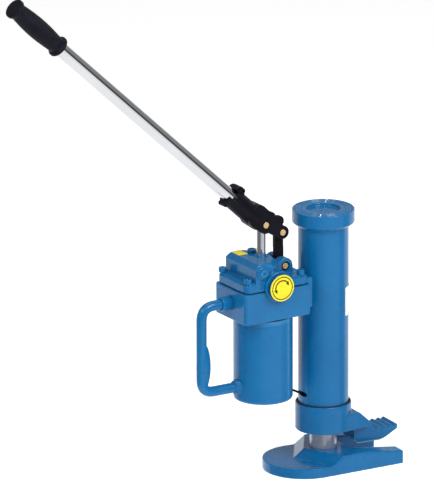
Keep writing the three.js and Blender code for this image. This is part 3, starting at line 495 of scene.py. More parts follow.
class Nodes(Tree):
    """One material's node tree."""

    def __init__(self, name):
        self.material = bpy.data.materials.new(name)
        super().__init__(self.material)
        self.shader = self.tree.nodes["Principled BSDF"]
        self.position = self.node("ShaderNodeTexCoord").outputs["Object"]

    def noise(self, scale, detail=3.0, roughness=0.5, stretch=(1.0, 1.0, 1.0)):
        mapping = self.node("ShaderNodeMapping")
        mapping.inputs["Scale"].default_value = stretch
        self.link(self.position, mapping.inputs["Vector"])
        noise = self.node("ShaderNodeTexNoise")
        noise.inputs["Scale"].default_value = scale
        noise.inputs["Detail"].default_value = detail
        noise.inputs["Roughness"].default_value = roughness
        self.link(mapping.outputs["Vector"], noise.inputs["Vector"])
        return noise.outputs["Fac"]

    def edges(self, start=0.52, end=0.58):
        """1 on outward edges, 0 elsewhere."""
        pointiness = self.node("ShaderNodeNewGeometry").outputs["Pointiness"]
        return self.ranged(pointiness, 0.0, 1.0, start, end)

    def bump(self, heights):
        """Lays several (height, strength, distance) bumps over each other."""
        normal = None
        for height, strength, distance in heights:
            bump = self.node("ShaderNodeBump")
            bump.inputs["Strength"].default_value = strength
            bump.inputs["Distance"].default_value = distance
            self.link(height, bump.inputs["Height"])
            if normal:
                self.link(normal, bump.inputs["Normal"])
            normal = bump.outputs["Normal"]
        self.link(normal, self.shader.inputs["Normal"])

    def value(self, name, number):
        self.shader.inputs[name].default_value = number

    def feed(self, name, source):
        self.link(source, self.shader.inputs[name])


GRAINS_PER_LUMP = 7
CHROME_DIMMING = 0.93


def enamel(name, grain, lumps):
    """Glossy blue spray enamel: orange peel, faint clouding, thin paint on the edges."""
    n = Nodes(name)
    clouds = n.ranged(n.noise(14.0, 4.0), 0.0, 1.0)
    colour = n.blend(clouds, (0.0034, 0.118, 0.305), (0.0044, 0.138, 0.345))
    speckle = n.ranged(n.noise(900.0, 2.0), 0.0, 0.35, 0.62, 0.72)
    colour = n.blend(speckle, colour, (0.012, 0.160, 0.375))
    colour = n.blend(n.edges(), colour, (0.026, 0.185, 0.400))
    n.feed("Base Color", colour)
    n.feed("Roughness", n.ranged(n.noise(60.0, 5.0), 0.20, 0.34))
    n.value("Specular IOR Level", 0.12)
    n.value("Coat Weight", 0.60)
    n.value("Coat Roughness", 0.05)
    n.value("Coat IOR", 1.45)
    n.bump([(n.noise(grain, 2.0), 0.10, 0.0003), (n.noise(grain / GRAINS_PER_LUMP, 3.0), lumps, 0.0010)])
    return n.material


def chrome(name, tint, stretch, smoothest, roughest, metallic=1.0):
    """Hard chrome: clear reflections with fine polishing marks across the axis."""
    n = Nodes(name)
    marks = n.noise(260.0, 3.0, 0.6, stretch)
    dimmed = tuple(CHROME_DIMMING * part for part in tint)
    colour = n.blend(n.ranged(n.noise(9.0, 3.0), 0.0, 1.0), tint, dimmed)
    n.feed("Base Color", colour)
    n.value("Metallic", metallic)
    n.feed("Roughness", n.ranged(marks, smoothest, roughest))
    n.bump([(marks, 0.05, 0.0001), (n.noise(30.0, 2.0), 0.02, 0.0008)])
    return n.material


def blackened(name):
    """Black painted casting: satin, with a sandy skin and greyish worn edges."""
    n = Nodes(name)
    sand = n.noise(420.0, 4.0, 0.6)
    cloud = n.ranged(n.noise(25.0, 4.0), 0.0, 1.0)
    colour = n.blend(cloud, (0.0035, 0.0035, 0.0065), (0.007, 0.007, 0.012))
    colour = n.blend(n.edges(0.53, 0.62), colour, (0.035, 0.035, 0.045))
    n.feed("Base Color", colour)
    n.feed("Roughness", n.ranged(sand, 0.30, 0.44))
    n.value("Specular IOR Level", 0.10)
    n.bump([(sand, 0.22, 0.0004), (n.noise(70.0, 3.0), 0.12, 0.0010)])
    return n.material


def moulded_grip(name):
    """Black moulded plastic with a fine matt skin."""
    n = Nodes(name)
    skin = n.noise(1500.0, 3.0)
    colour = n.blend(n.ranged(n.noise(40.0, 4.0), 0.0, 1.0), (0.0035, 0.0035, 0.008), (0.007, 0.007, 0.014))
    colour = n.blend(n.edges(0.54, 0.66), colour, (0.030, 0.034, 0.050))
    n.feed("Base Color", colour)
    n.feed("Roughness", n.ranged(skin, 0.30, 0.46))
    n.value("Specular IOR Level", 0.12)
    n.bump([(skin, 0.15, 0.0002)])
    return n.material


def rubber(name):
    n = Nodes(name)
    skin = n.noise(700.0, 4.0)
    n.feed("Base Color", n.blend(skin, (0.006, 0.006, 0.009), (0.014, 0.014, 0.018)))
    n.feed("Roughness", n.ranged(skin, 0.55, 0.75))
    n.bump([(skin, 0.12, 0.0003)])
    return n.material


def turned_brass(name):
    """Brass pins faced on a lathe: rings round each piece's own axis."""
    n = Nodes(name)
    rings = n.node("ShaderNodeTexWave", wave_type="RINGS", rings_direction="Y")
    rings.inputs["Scale"].default_value = 900.0
    rings.inputs["Distortion"].default_value = 1.5
    n.link(n.position, rings.inputs["Vector"])
    tarnish = n.ranged(n.noise(300.0, 4.0), 0.0, 1.0)
    n.feed("Base Color", n.blend(tarnish, (0.95, 0.68, 0.34), (0.80, 0.54, 0.24)))
    n.value("Metallic", 0.7)
    n.feed("Roughness", n.ranged(rings.outputs["Fac"], 0.28, 0.44, 0.0, 1.0))
    n.bump([(rings.outputs["Fac"], 0.18, 0.0001)])
    return n.material


def steel(name):
    n = Nodes(name)
    marks = n.noise(180.0, 4.0, 0.6, (1.0, 1.0, 6.0))
    n.feed("Base Color", n.blend(marks, (0.42, 0.44, 0.46), (0.56, 0.57, 0.59)))
    n.value("Metallic", 1.0)
    n.feed("Roughness", n.ranged(marks, 0.28, 0.46))
    n.bump([(marks, 0.10, 0.0002)])
    return n.material


def film(name, tint, shade):
    """Printed plastic film of a label or dial."""
    n = Nodes(name)
    grain = n.noise(1200.0, 3.0)
    n.feed("Base Color", n.blend(n.ranged(n.noise(50.0, 3.0), 0.0, 1.0), tint, shade))
    n.feed("Roughness", n.ranged(grain, 0.30, 0.46))
    n.value("Coat Weight", 0.2)
    n.value("Coat Roughness", 0.15)
    n.bump([(grain, 0.06, 0.0001), (n.noise(90.0, 2.0), 0.05, 0.0004)])
    return n.material


def ink(name):
    n = Nodes(name)
    grain = n.noise(1500.0, 3.0)
    n.feed("Base Color", n.blend(grain, (0.012, 0.011, 0.004), (0.035, 0.032, 0.010)))
    n.feed("Roughness", n.ranged(grain, 0.40, 0.55))
    n.bump([(grain, 0.08, 0.0001)])
    return n.material


ALONG_UPRIGHT = (0.35, 0.35, 5.0)
FINISH = {
    "forged": (enamel("blue_enamel_forged", 420.0, 0.30), "blue_paint"),
    "smooth": (enamel("blue_enamel_smooth", 520.0, 0.10), "blue_paint"),
    "chrome": (chrome("chrome_upright", (0.80, 0.82, 0.86), ALONG_UPRIGHT, 0.05, 0.14), "chrome"),
    "piston": (chrome("chrome_piston", (0.50, 0.52, 0.59), ALONG_UPRIGHT, 0.16, 0.26, 0.62), "chrome"),
    "lever": (chrome("chrome_lever", (0.88, 0.90, 0.92), (1.0, 1.0, 1.0), 0.05, 0.14), "chrome"),
    "black": (blackened("black_casting"), "black_paint"),
    "grip": (moulded_grip("grip_plastic"), "rubber"),
    "rubber": (rubber("black_rubber"), "rubber"),
    "brass": (turned_brass("turned_brass"), "brass"),
    "steel": (steel("ground_steel"), "steel"),
    "yellow": (film("yellow_film", (0.86, 0.71, 0.0), (0.80, 0.65, 0.0)), "yellow_label"),
    "white": (film("white_film", (0.86, 0.87, 0.88), (0.80, 0.81, 0.83)), "white_label"),
    "ink": (ink("dial_ink"), "yellow_label"),
}


def place(obj, finish, *nodes, body=None, name=None, crease=38.0, pivot=None):
    """Hands a finished piece over in metres: it stands for the CAD nodes and rides on their body."""
    material, slot = FINISH[finish]
    obj.name = name or f"{nodes[0]}_piece"
    centre = Vector(pivot) if pivot else Vector((0, 0, 0))
    obj.data.transform(Matrix.Scale(MM, 4) @ Matrix.Translation(-centre))
    obj.location = centre * MM
    obj.data.materials.clear()
    obj.data.materials.append(material)
    obj.data.shade_smooth()
    obj.data.set_sharp_from_angle(angle=math.radians(crease))
    obj.modifiers.new("flats", "WEIGHTED_NORMAL").keep_sharp = True
    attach(obj, body or frame["nodes"][nodes[0]]["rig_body"])
    if nodes:
        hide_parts(*nodes)
    return obj


# ---- base
def base_plate():
    b = BASE
    reach = math.hypot(b.tip_x - b.heel_centre, b.tip_half)
    tangent = (math.atan2(b.tip_half, b.tip_x - b.heel_centre)
               + math.acos(b.heel_radius / reach))
    outline = arc(b.heel_centre, 0, b.heel_radius, tangent, 2 * math.pi - tangent, b.heel_steps)
    outline += [(b.tip_x, -b.tip_half), (b.tip_x, b.tip_half)]
    heel = prism(outline, 0, b.heel_height)
    side = b.vee_lean * b.reach
    platform = mirrored_hull([
        (b.vee_foot, 0, 0), (b.vee_foot + side, b.reach, 0), (b.tip_x + OVER, b.reach, 0),
        (b.vee_foot, 0, b.heel_height), (b.vee_foot + side, b.reach, b.heel_height),
        (b.vee_top, 0, b.top), (b.vee_top + side, b.reach, b.top),
        (b.slope_start, b.reach, b.top), (b.tip_x + OVER, b.reach, b.tip_height),
    ])
    platform = overlap(platform, prism(outline, 0, b.top))
    mouth = b.tip_x + b.reach
    slot = prism(rounded_rectangle(b.slot_start, mouth, -b.slot_half, b.slot_half, b.slot_corner),
                 -OVER, b.top + OVER)
    plate = cast(cut(joined(heel, platform), slot), b.voxel, b.passes)
    socket = rod(Span("piston_rod").radius + GAP, b.socket_floor, b.top + OVER, ROUND)
    plate = cut(plate, socket)
    plate.data.transform(Matrix.Rotation(b.yaw, 4, "Z"))
    place(plate, "forged", "base_plate")


def piston_rod():
    span = Span("piston_rod")
    radius = span.radius
    spigot, shoulder = ROD.spigot, ROD.shoulder
    line = [(0, span.low.z), (radius, span.low.z), (radius, shoulder), (spigot, shoulder),
            (spigot, span.high.z), (0, span.high.z)]
    place(turned(softened(line, ROD.edge)), "piston", "piston_rod")


# ---- claw
def toe_outline():
    t = TOE
    root = Span("claw").mid.z
    line = [(t.root_x, root), (t.heel_x, root), (t.heel_x, t.heel_z), (t.sole_x, t.sole),
            (t.sole_end, t.sole), (t.tip_x, t.tip_low), (t.tip_x, t.crest),
            (t.land_x, t.crest)]
    for tooth in range(t.teeth):
        back = t.tip_x - tooth * t.pitch
        line += [(back - t.pitch / 2, t.valley), (back - t.pitch, t.crest)]
    last = t.tip_x - (t.teeth + 0.5) * t.pitch
    return line + [(last, t.valley), (CLAW.arm_x, CLAW.arm_top), (t.root_x, CLAW.arm_top)]


def toe():
    """The toe's bar with its saw teeth; the long edges of its sole are bevelled."""
    t = TOE
    x0, x1, top = t.root_x, t.tip_x + OVER, CLAW.arm_top + OVER
    narrow = t.half - t.sole_edge
    hull = mirrored_hull([
        (x0, t.half, top), (x1, t.half, top),
        (x0, t.half, t.sole + t.sole_edge), (x1, t.half, t.sole + t.sole_edge),
        (x0, narrow, t.sole), (x1, narrow, t.sole),
    ])
    return overlap(side_prism(toe_outline(), -t.half, t.half), hull)


def claw():
    c = CLAW
    seal = Span("collar_ring")
    radius = seal.radius + c.wall
    low = Span("gland_nut").low.z - GAP
    top = seal.high.z - c.ring_proud
    collar = rod(radius, low, top, ROUND, c.rim)
    arm = mirrored_hull([
        (0, c.root_half, low), (0, c.root_half, c.shoulder_top),
        (c.shoulder_x, c.shoulder_half, c.shoulder_top),
        (c.arm_x, c.arm_half, low), (c.arm_x, c.arm_half, c.arm_top),
    ])
    body = cast(joined(collar, arm, toe()), c.voxel, c.passes)
    body.data.transform(Matrix.Rotation(BASE.yaw, 4, "Z"))
    bores = [(c.bore, c.floor_top, top + FAR), (c.ring_seat_radius, c.ring_seat, top + FAR),
             (c.throat, low - FAR, top), (c.gland_seat, low - FAR, c.gland_top)]
    cut(body, *[rod(*bore, ROUND) for bore in bores])
    place(body, "forged", "claw")
    inner = Span("cylinder_tube").radius + GAP
    place(ring(inner, seal.radius, seal.low.z, seal.high.z, c.ring_edge), "rubber", "collar_ring")


# ---- cylinder
def cylinder():
    t = TUBE
    span = Span("cylinder_tube")
    radius = span.radius
    tube = ring(t.inner, radius, span.low.z, span.high.z, t.edge)
    half = t.slot_height / 2
    end = t.slot_length / 2 - half
    slot = prism(tapered_bar(0, -end, half, 0, end, half - TINY), t.inner - FAR, radius + FAR)
    slot.data.transform(Matrix.Translation((0, 0, t.slot_z)) @ Matrix.Rotation(-math.pi / 2, 4, "Y"))
    place(cut(tube, slot), "smooth", "cylinder_tube")


def head_cap():
    c = CAP
    span = Span("head_cap")
    radius = span.radius
    top = span.high.z
    cone = c.cone_bottom
    half, floor_half = c.groove_half, c.groove_floor_half
    outer = softened([
        (c.plug, span.low.z), (c.plug, c.seat), (c.skirt_inner, c.seat),
        (c.skirt_inner, cone), (c.skirt_outer, cone), (radius, c.rim_bottom),
        (radius, top), (c.grooves[0] + half, top)], c.edge)
    line = [(0, span.low.z)] + outer
    floor = top - c.groove_depth
    for groove in c.grooves:
        line += [(groove + half, top), (groove + floor_half, floor), (groove - floor_half, floor),
                 (groove - half, top)]
    recess = top - c.recess_depth
    dimple = recess - c.dimple_depth
    line += softened([
        (c.recess_lip, top), (c.recess_radius, top), (c.recess_floor, recess),
        (c.dimple_rim, recess), (c.dimple_floor, dimple), (0, dimple)], c.recess_edge)
    place(turned(line), "smooth", "head_cap")


# ---- pump body
def pump_block():
    b = BLOCK
    span = Span("pump_block")
    tank = Span("reservoir").mid
    body = eased(slab(span, b.corner), b.edge, 4)
    sump = moved(rod(b.sump_radius, span.low.z - OVER, span.low.z + b.sump_depth, ROUND), tank.x, 0)
    barrel = moved(rod(b.barrel_hole, span.low.z - OVER, span.high.z + OVER), P1.x, 0)
    place(cut(body, sump, barrel), "forged", "pump_block")


def pump_gasket():
    span = Span("pump_gasket")
    sheet = slab(span, COVER.corner, GASKET.inset)
    barrel = moved(rod(BLOCK.barrel_hole, span.low.z - OVER, span.high.z + OVER), P1.x, 0)
    place(eased(cut(sheet, barrel), GASKET.edge, 2), "rubber", "pump_gasket")


def cover_head():
    c = COVER
    ch = c.chamfer
    points = []
    for z, inset in ((c.flange_top - c.sunk, 0), (c.head_top - ch, 0), (c.head_top, ch / 2)):
        half = c.head_half - inset
        right = c.head_right - inset
        points += [(c.head_left + 2 * inset, half, z), (right - c.head_corner, half, z),
                   (right, half - c.head_corner, z)]
    return mirrored_hull(points)


def cover_ear(side):
    c = COVER
    low, high = sorted((side * c.ear_inner, side * c.ear_outer))
    eye = side_prism(tapered_bar(P3.x, c.ear_foot, c.ear_foot_radius, P3.x, P3.z, c.ear_radius),
                     low, high)
    web = block(c.head_right - FAR, P3.x, low, high, c.flange_top - c.sunk, P3.z + c.web_top)
    return joined(eye, web)


def release_housing(flange_bottom):
    h = HOUSING
    axis = Span("release_disc").mid
    face = -Span("pump_block").low.y + GAP

    def drum(back):
        return rod(h.radius, back, h.front, ROUND, h.edge)

    upper = along_minus_y(drum(h.root), axis.x, axis.z)
    reach = h.radius + h.margin
    below = block(axis.x - reach, axis.x + reach, -h.front - FAR, 0, axis.z - reach, flange_bottom)
    return joined(cut(upper, below), along_minus_y(drum(face), axis.x, axis.z))


def pump_cover():
    c = COVER
    gasket = Span("pump_gasket")
    bottom = gasket.high.z + GAP
    barrel_top = Span("pump_barrel").high.z
    x0, x1, y0, y1 = gasket.low.x, gasket.high.x, gasket.low.y, gasket.high.y
    inset = c.flange_edge
    flange = prism(rounded_rectangle(x0, x1, y0, y1, c.corner), bottom, c.flange_top - inset)
    step = prism(rounded_rectangle(x0 + inset, x1 - inset, y0 + inset, y1 - inset, c.corner - inset),
                 bottom, c.flange_top)
    boss = along_minus_y(rod(c.boss_radius, c.boss_root, c.boss_face, ROUND, c.boss_edge),
                         c.boss_x, c.boss_z)
    body = joined(flange, step, cover_head(), cover_ear(-1), cover_ear(1), boss, release_housing(bottom))
    trim = block(x0 - FAR, x1 + FAR, y0, y1, bottom - c.trim, bottom)
    room = block(c.head_right - OVER, P3.x + c.link_room_right, -c.ear_inner, c.ear_inner,
                 P3.z - c.link_room, P3.z + c.link_room_top)
    body = cast(cut(body, trim, room), c.voxel, c.passes)
    tools = [
        moved(rod(BLOCK.barrel_hole, bottom - 2 * OVER, barrel_top + GAP), P1.x, 0),
        moved(rod(c.gland_hole, barrel_top - OVER, c.gland_hole_top), P1.x, 0),
        *pin_tools(c.ear_outer, P3.x, P3.z),
    ]
    place(cut(body, *tools), "forged", "pump_cover")


def cover_screw(node):
    """Upright cap screw with a hexagon socket."""
    s = SCREW
    span = Span(node)
    radius, top = span.radius, span.high.z
    seat = COVER.flange_top + GAP
    line = [(0, span.low.z), (s.shank, span.low.z), (s.shank, seat), (radius, seat), (radius, top),
            (s.socket_lip, top), (0, top - s.dish)]
    screw = hex_cut(turned(softened(line, s.edge), SMALL_ROUND), s, top)
    place(moved(screw, span.mid.x, span.mid.y), "smooth", node)


def pump_bracket():
    span = Span("pump_bracket")
    web = block(span.low.x, span.high.x, span.low.y, span.high.y, span.low.z, span.high.z)
    web = eased(web, BRACKET_EDGE, 4)
    tube = rod(Span("cylinder_tube").radius + GAP, span.low.z - OVER, span.high.z + OVER, ROUND)
    place(cut(web, tube), "forged", "pump_bracket")


def reservoir():
    r = RESERVOIR
    span = Span("reservoir")
    radius = span.radius
    inner = Span("reservoir_seal").radius - r.mouth_step
    floor = span.low.z + r.floor
    seam = span.high.z - r.seam_drop
    outer = softened([(0, span.low.z), (radius, span.low.z), (radius, seam - r.seam_half)], r.edge)
    line = outer + [(radius - r.seam_depth, seam), (radius, seam + r.seam_half), (radius, span.high.z),
                    (inner, span.high.z), (inner, floor), (0, floor)]
    place(moved(turned(line), span.mid.x, 0), "smooth", "reservoir")


def plunger_gland():
    g = GLAND
    span = Span("plunger_gland")
    radius = span.radius
    collar = ring(g.bore, radius, span.low.z, span.high.z, g.edge, SMALL_ROUND)
    notch = block(-radius - OVER, radius + OVER, -g.notch_half, g.notch_half,
                  span.high.z - g.notch_depth, span.high.z + OVER)
    place(moved(cut(collar, notch), P1.x, 0), "smooth", "plunger_gland")


def plunger():
    p = PLUNGER
    span = Span("plunger")
    half = span.size.y / 2
    eye_radius = span.high.z - P1.z
    stem = moved(rod(p.radius, span.low.z, P1.z, SMALL_ROUND, p.edge), P1.x, 0)
    eye = along_minus_y(rod(eye_radius, -half, half, ROUND, p.eye_edge), P1.x, P1.z)
    hole = along_minus_y(rod(PIN.bore, -half - OVER, half + OVER), P1.x, P1.z)
    place(cut(joined(stem, eye), hole), "chrome", "plunger", pivot=(P1.x, 0, P1.z))


# ---- linkage
def pins():
    for node, spot in (("pin_plunger", P1), ("pin_link", P2), ("pin_ear", P3)):
        span = Span(node)
        half = span.size.y / 2
        radius = span.radius
        centre, sunk = PIN.centre_radius, half - PIN.centre_depth
        line = [(0, -sunk), (centre, -half), (radius, -half), (radius, half), (centre, half), (0, sunk)]
        pin = turned(softened(line, PIN.edge), SMALL_ROUND)
        place(along_minus_y(pin, spot.x, spot.z), "brass", node, pivot=(spot.x, 0, spot.z))


def retaining_rings():
    for name, spot in (("plunger", P1), ("link", P2), ("ear", P3)):
        for side in ("front", "back"):
            node = f"{name}_ring_{side}"
            span = Span(node)
            low, high, radius = -span.high.y, -span.low.y, span.radius
            washer = ring(PIN.bore, radius, low, high, PIN.ring_edge, SMALL_ROUND)
            half = PIN.ring_slit / 2
            slit = block(-half, half, 0, radius + OVER, low - OVER, high + OVER)
            place(along_minus_y(cut(washer, slit), spot.x, spot.z), "black", node)


def link():
    k = LINK
    y = k.half_thickness
    eye = k.eye_half
    bar = side_prism(tapered_bar(P3.x, P3.z, k.half_width, P2.x, P2.z, k.half_width - TINY), -y, y)
    lower = along_minus_y(rod(k.eye, -eye, eye, ROUND), P3.x, P3.z)
    upper = along_minus_y(rod(k.eye, -eye, eye, ROUND), P2.x, P2.z)
    middle = P2.x + k.slot_centre
    free = PIN.bore + GAP
    slot = side_prism(tapered_bar(middle - k.slot_half, P2.z, free, middle + k.slot_half, P2.z,
                                  free - TINY), -eye - OVER, eye + OVER)
    hole = along_minus_y(rod(PIN.bore, -eye - OVER, eye + OVER), P3.x, P3.z)
    body = cast(joined(bar, lower, upper), k.voxel, k.passes)
    place(cut(body, slot, hole), "black", "link")


def level_p2():
    """The link pin's place with the lever drawn level and its own pin at the origin."""
    across = P2.x - P1.x
    up = P2.z - P1.z
    cos, sin = math.cos(LEVER_ANGLE), math.sin(LEVER_ANGLE)
    return across * cos - up * sin, across * sin + up * cos


def lever_socket():
    c = CHEEK
    s = SOCKET
    x2, z2 = level_p2()
    y = c.outer
    web = c.web_radius
    cheeks = [
        tapered_bar(c.root_x, 0, c.root_radius, 0, 0, c.p1_radius),
        tapered_bar(0, 0, web, x2, z2, c.p2_radius),
        tapered_bar(c.back_x, c.back_z, c.back_radius, c.back_end_x, c.back_z,
                    c.back_radius),
        tapered_bar(c.back_end_x, c.back_z, web, c.lobe_x, c.lobe_z, c.lobe_radius),
        tapered_bar(c.lobe_x, z2, web, x2, z2, web),
    ]
    blank = joined(*[side_prism(outline, -y, y) for outline in cheeks])
    barrel = along_x(rod(s.radius, s.mouth, s.start, ROUND, s.edge), 0, 0)
    wide, thin = s.lug_half, s.lip_half
    lug = along_minus_y(rod(s.lug_top - s.bore, -wide, wide, ROUND, s.edge), s.lug_x, s.bore)
    lip = along_minus_y(rod(s.lip_radius, -thin, thin, ROUND, s.lip_edge), s.lip_x, s.lip_z)
    fork = block(c.gap_end, x2 + s.fork_reach, -c.inner, c.inner, -s.fork_half, s.fork_half)
    notch = block(s.mouth - s.notch_margin, s.notch_x, -s.radius - OVER, s.radius + OVER,
                  s.notch_low, s.notch_high)
    body = cut(joined(blank, barrel, lug, lip), fork, notch)
    body = cast(body, c.voxel, c.passes)
    tools = [
        along_x(rod(s.bore, s.mouth - OVER, s.bore_start, ROUND), 0, 0),
        block(s.mouth - OVER, s.slit_start, -s.slit_width / 2, s.slit_width / 2,
              s.bore - s.slit_sunk, s.lug_top + OVER),
        along_minus_y(rod(CLAMP.radius + GAP, -wide - OVER, wide + OVER), s.lug_x, CLAMP.z),
        *pin_tools(y, 0, 0),
        *pin_tools(y, x2, z2),
    ]
    place(raised(cut(body, *tools)), "black", "lever_socket")


def clamp_screw():
    c = CLAMP
    top = c.seat + c.head
    line = [(0, c.tail), (c.radius, c.tail), (c.radius, c.seat), (c.head_radius, c.seat),
            (c.head_radius, top), (0, top)]
    screw = turned(softened(line, c.edge), SMALL_ROUND)
    socket = rod(c.radius, c.socket_floor, top + OVER, HEXAGON)
    place(raised(along_minus_y(cut(screw, socket), SOCKET.lug_x, c.z)), "black", "clamp_screw")


def lever_tube():
    t = LEVER_TUBE
    tube = ring(t.inner, t.radius, t.end, t.start, t.edge)
    place(raised(along_x(tube, 0, 0)), "lever", "lever_tube")


def knurl(angle, height):
    """Diamond pattern of two crossing sets of helical grooves."""
    around = GRIP.knurls * angle / (2 * math.pi)
    along = height / GRIP.knurl_pitch
    right = abs(2 * ((around + along) % 1.0) - 1)
    left = abs(2 * ((around - along) % 1.0) - 1)
    return -GRIP.knurl_depth * max(right, left) ** 3


def lever_grip():
    g = GRIP
    last = g.end + g.disc_length
    first = g.start - g.flange_length
    top = first - g.lead
    bottom = last + g.lead
    knurl_low = bottom + g.knurl_margin
    knurl_high = top - g.knurl_margin
    rows = int((knurl_high - knurl_low) / g.row)

    def swelling(height):
        return g.neck + g.swell * math.sin(math.pi * (height - bottom) / (top - bottom))

    end_disc = softened([
        (g.bore, g.start), (g.flange, g.start), (g.flange, first), (g.neck, top),
        (swelling(knurl_high), knurl_high)], g.flange_edge)
    heights = [knurl_high - (knurl_high - knurl_low) * row / rows for row in range(1, rows)]
    barrel = [(swelling(height), height) for height in heights]
    foot = softened([
        (swelling(knurl_low), knurl_low), (g.neck, bottom), (g.disc, last), (g.disc, g.end),
        (g.dimple, g.end), (0, g.end + g.dimple_depth)], g.disc_edge)
    floor = g.end + g.floor
    line = [(0, floor), (g.bore, floor)] + end_disc + barrel + foot

    def ripple(angle, height):
        fade = min(1.0, max(0.0, min(height - knurl_low, knurl_high - height) / g.knurl_fade))
        return knurl(angle, height) * fade

    grip = turned(line, g.columns, ripple)
    place(raised(along_x(grip, 0, 0)), "grip", "lever_grip", crease=60.0)


# ---- release valve and plugs
def release_valve():
    body = Span("release_body")
    axis = body.mid
    boss = ring(VALVE_BOSS.bore, body.radius, -body.high.y, -body.low.y, VALVE_BOSS.edge)
    place(along_minus_y(boss, axis.x, axis.z), "smooth", "release_body")
    knob = Span("release_knob")
    radius = knob.radius

    def serration(angle, _):
        return -KNOB.serration_depth * (0.5 + 0.5 * math.cos(KNOB.serrations * angle)) ** 2

    line = [(0, -knob.high.y), (radius, -knob.high.y), (radius, -knob.low.y), (0, -knob.low.y)]
    wheel = turned(softened(line, KNOB.edge), KNOB.serrations * RIPPLE_STEPS, serration)
    place(along_minus_y(wheel, axis.x, axis.z), "smooth", "release_knob")
    disc = Span("release_disc")
    plate = rod(disc.radius, -disc.high.y, -disc.low.y, ROUND, DISC.edge)
    place(along_minus_y(plate, axis.x, axis.z), "yellow", "release_disc")
    dial_print(axis, disc.low.y)


def dial_print(axis, face):
    """Ring line and double-headed turning arrow printed on the disc."""
    d = DISC
    start, end = math.radians(d.arrow_from), math.radians(d.arrow_to)
    low, high = face - d.print_height, face + d.print_height
    radius = d.arrow_radius
    outer = arc(0, 0, radius + d.arrow_half, start, end, d.steps)
    inner = arc(0, 0, radius - d.arrow_half, end, start, d.steps)
    sweep = side_prism(outer + inner, low, high)
    heads = []
    for angle, way in ((start, -1), (end, 1)):
        turn = way * d.head_length / radius
        back = angle - turn * d.head_notch
        corners = [(radius * math.cos(angle + turn), radius * math.sin(angle + turn))]
        for reach in (radius - d.head_half, radius + d.head_half):
            corners.append((reach * math.cos(back), reach * math.sin(back)))
        heads.append(side_prism(corners, low, high))
    arrow = joined(sweep, *heads)
    place(moved(arrow, axis.x, 0, axis.z), "ink", body="release", name="dial_arrow")
    line = ring(d.ring - d.ring_half, d.ring + d.ring_half, -high, -low)
    place(along_minus_y(line, axis.x, axis.z), "ink", body="release", name="dial_ring")


def plugs():
    """Socket plugs on top of the pump's head and in its front."""
    filler = Span("filler_plug")
    plug = socket_plug(filler.radius, filler.low.z, filler.high.z, FILLER)
    place(moved(plug, filler.mid.x, filler.mid.y), "smooth", "filler_plug")
    relief = Span("relief_plug")
    plug = socket_plug(relief.radius, -relief.high.y, -relief.low.y, RELIEF)
    place(along_minus_y(plug, relief.mid.x, relief.mid.z), "smooth", "relief_plug")


# ---- handle, stay and labels
def swept(path, radius, segments=SMALL_ROUND):
    """Round bar along a path of (x, z) points in the plane y = 0."""
    points = []
    count = len(path)
    for i, here in enumerate(path):
        along = (path[min(i + 1, count - 1)] - path[max(i - 1, 0)]).normalized()
        across = Vector((-along.y, along.x))
        for k in range(segments):
            angle = 2 * math.pi * k / segments
            side = across * (radius * math.cos(angle))
            points.append((here.x + side.x, radius * math.sin(angle), here.y + side.y))
    faces = [list(range(segments)), list(range((count - 1) * segments, count * segments))]
    for i in range(count - 1):
        for k in range(segments):
            j = (k + 1) % segments
            low, high = i * segments, (i + 1) * segments
            faces.append([low + k, low + j, high + j, high + k])
    return solid(points, faces)


def ellipsoid(centre, semi):
    steps = 32
    line = [(math.sin(math.pi * i / steps), -math.cos(math.pi * i / steps)) for i in range(steps + 1)]
    line[0], line[-1] = (0.0, -1.0), (0.0, 1.0)
    ball = turned(line, SMALL_ROUND)
    ball.data.transform(Matrix.Translation(centre) @ Matrix.Diagonal((*semi, 1)))
    return ball


def carrying_handle():
    h = HANDLE
    tank = Span("reservoir")
    wall = tank.low.x - GAP
    face = Span("pump_block").low.x - GAP
    turn = h.outer_x + h.bend
    x, upper, lower = h.outer_x, h.upper_z, h.lower_z
    path = [Vector((face, upper))]
    path += bend((turn, upper), (x, upper), (x, upper - h.bend), h.steps)
    path += bend((x, lower + h.bend), (x, lower), (turn, lower), h.steps)
    path += [Vector((wall, lower))]
    bar = swept(path, h.radius)
    bulge = ellipsoid((h.bulge_x, 0, h.bulge_z), h.bulge)
    body = cast(joined(bar, bulge), h.voxel, h.passes)
    place(body, "smooth", "carrying_handle")
    boss = Span("handle_boss")
    collar = ring(h.radius + GAP, boss.size.z / 2, boss.low.x, boss.high.x, h.boss_edge)
    place(along_x(collar, 0, upper), "smooth", "handle_boss")
    handle_weld(tank)


def handle_weld(tank):
    """Weld bead round the handle's foot, with the ripples that a welder leaves."""
    w = WELD
    span = Span("handle_weld")
    inner = HANDLE.radius + GAP

    def ripple(angle, height):
        return w.ripple_depth * math.sin(w.ripples * angle + height)

    far = tank.low.x + w.depth
    line = [(inner, span.low.x), (w.neck, span.low.x), (w.shoulder, span.low.x + w.shoulder_reach),
            (w.radius, tank.low.x + w.crown), (w.radius, far), (inner, far)]
    bead = turned(softened(line, w.edge, closed=True), w.ripples * RIPPLE_STEPS, ripple)
    body = moved(rod(tank.radius + GAP, tank.low.z - FAR, tank.high.z, ROUND), tank.mid.x, 0)
    place(cut(along_x(bead, 0, HANDLE.lower_z), body), "smooth", "handle_weld")


def stay_rod():
    """Thin rod with a nut at the reservoir's end."""
    s = STAY
    span = Span("stay_rod")
    start = Vector((span.low.x, 0, span.high.z))
    end = Vector((span.high.x, 0, span.low.z))
    length = (end - start).length
    radius = span.size.y / 2
    bar = rod(radius, s.inset, length - s.inset, SMALL_ROUND, s.edge)
    stay = joined(bar, rod(radius + s.nut_proud, s.nut_start, s.nut_end, HEXAGON))
    tilt = (end - start).to_track_quat("Z", "Y").to_matrix().to_4x4()
    stay.data.transform(Matrix.Translation(start) @ tilt)
    place(stay, "black", "stay_rod")


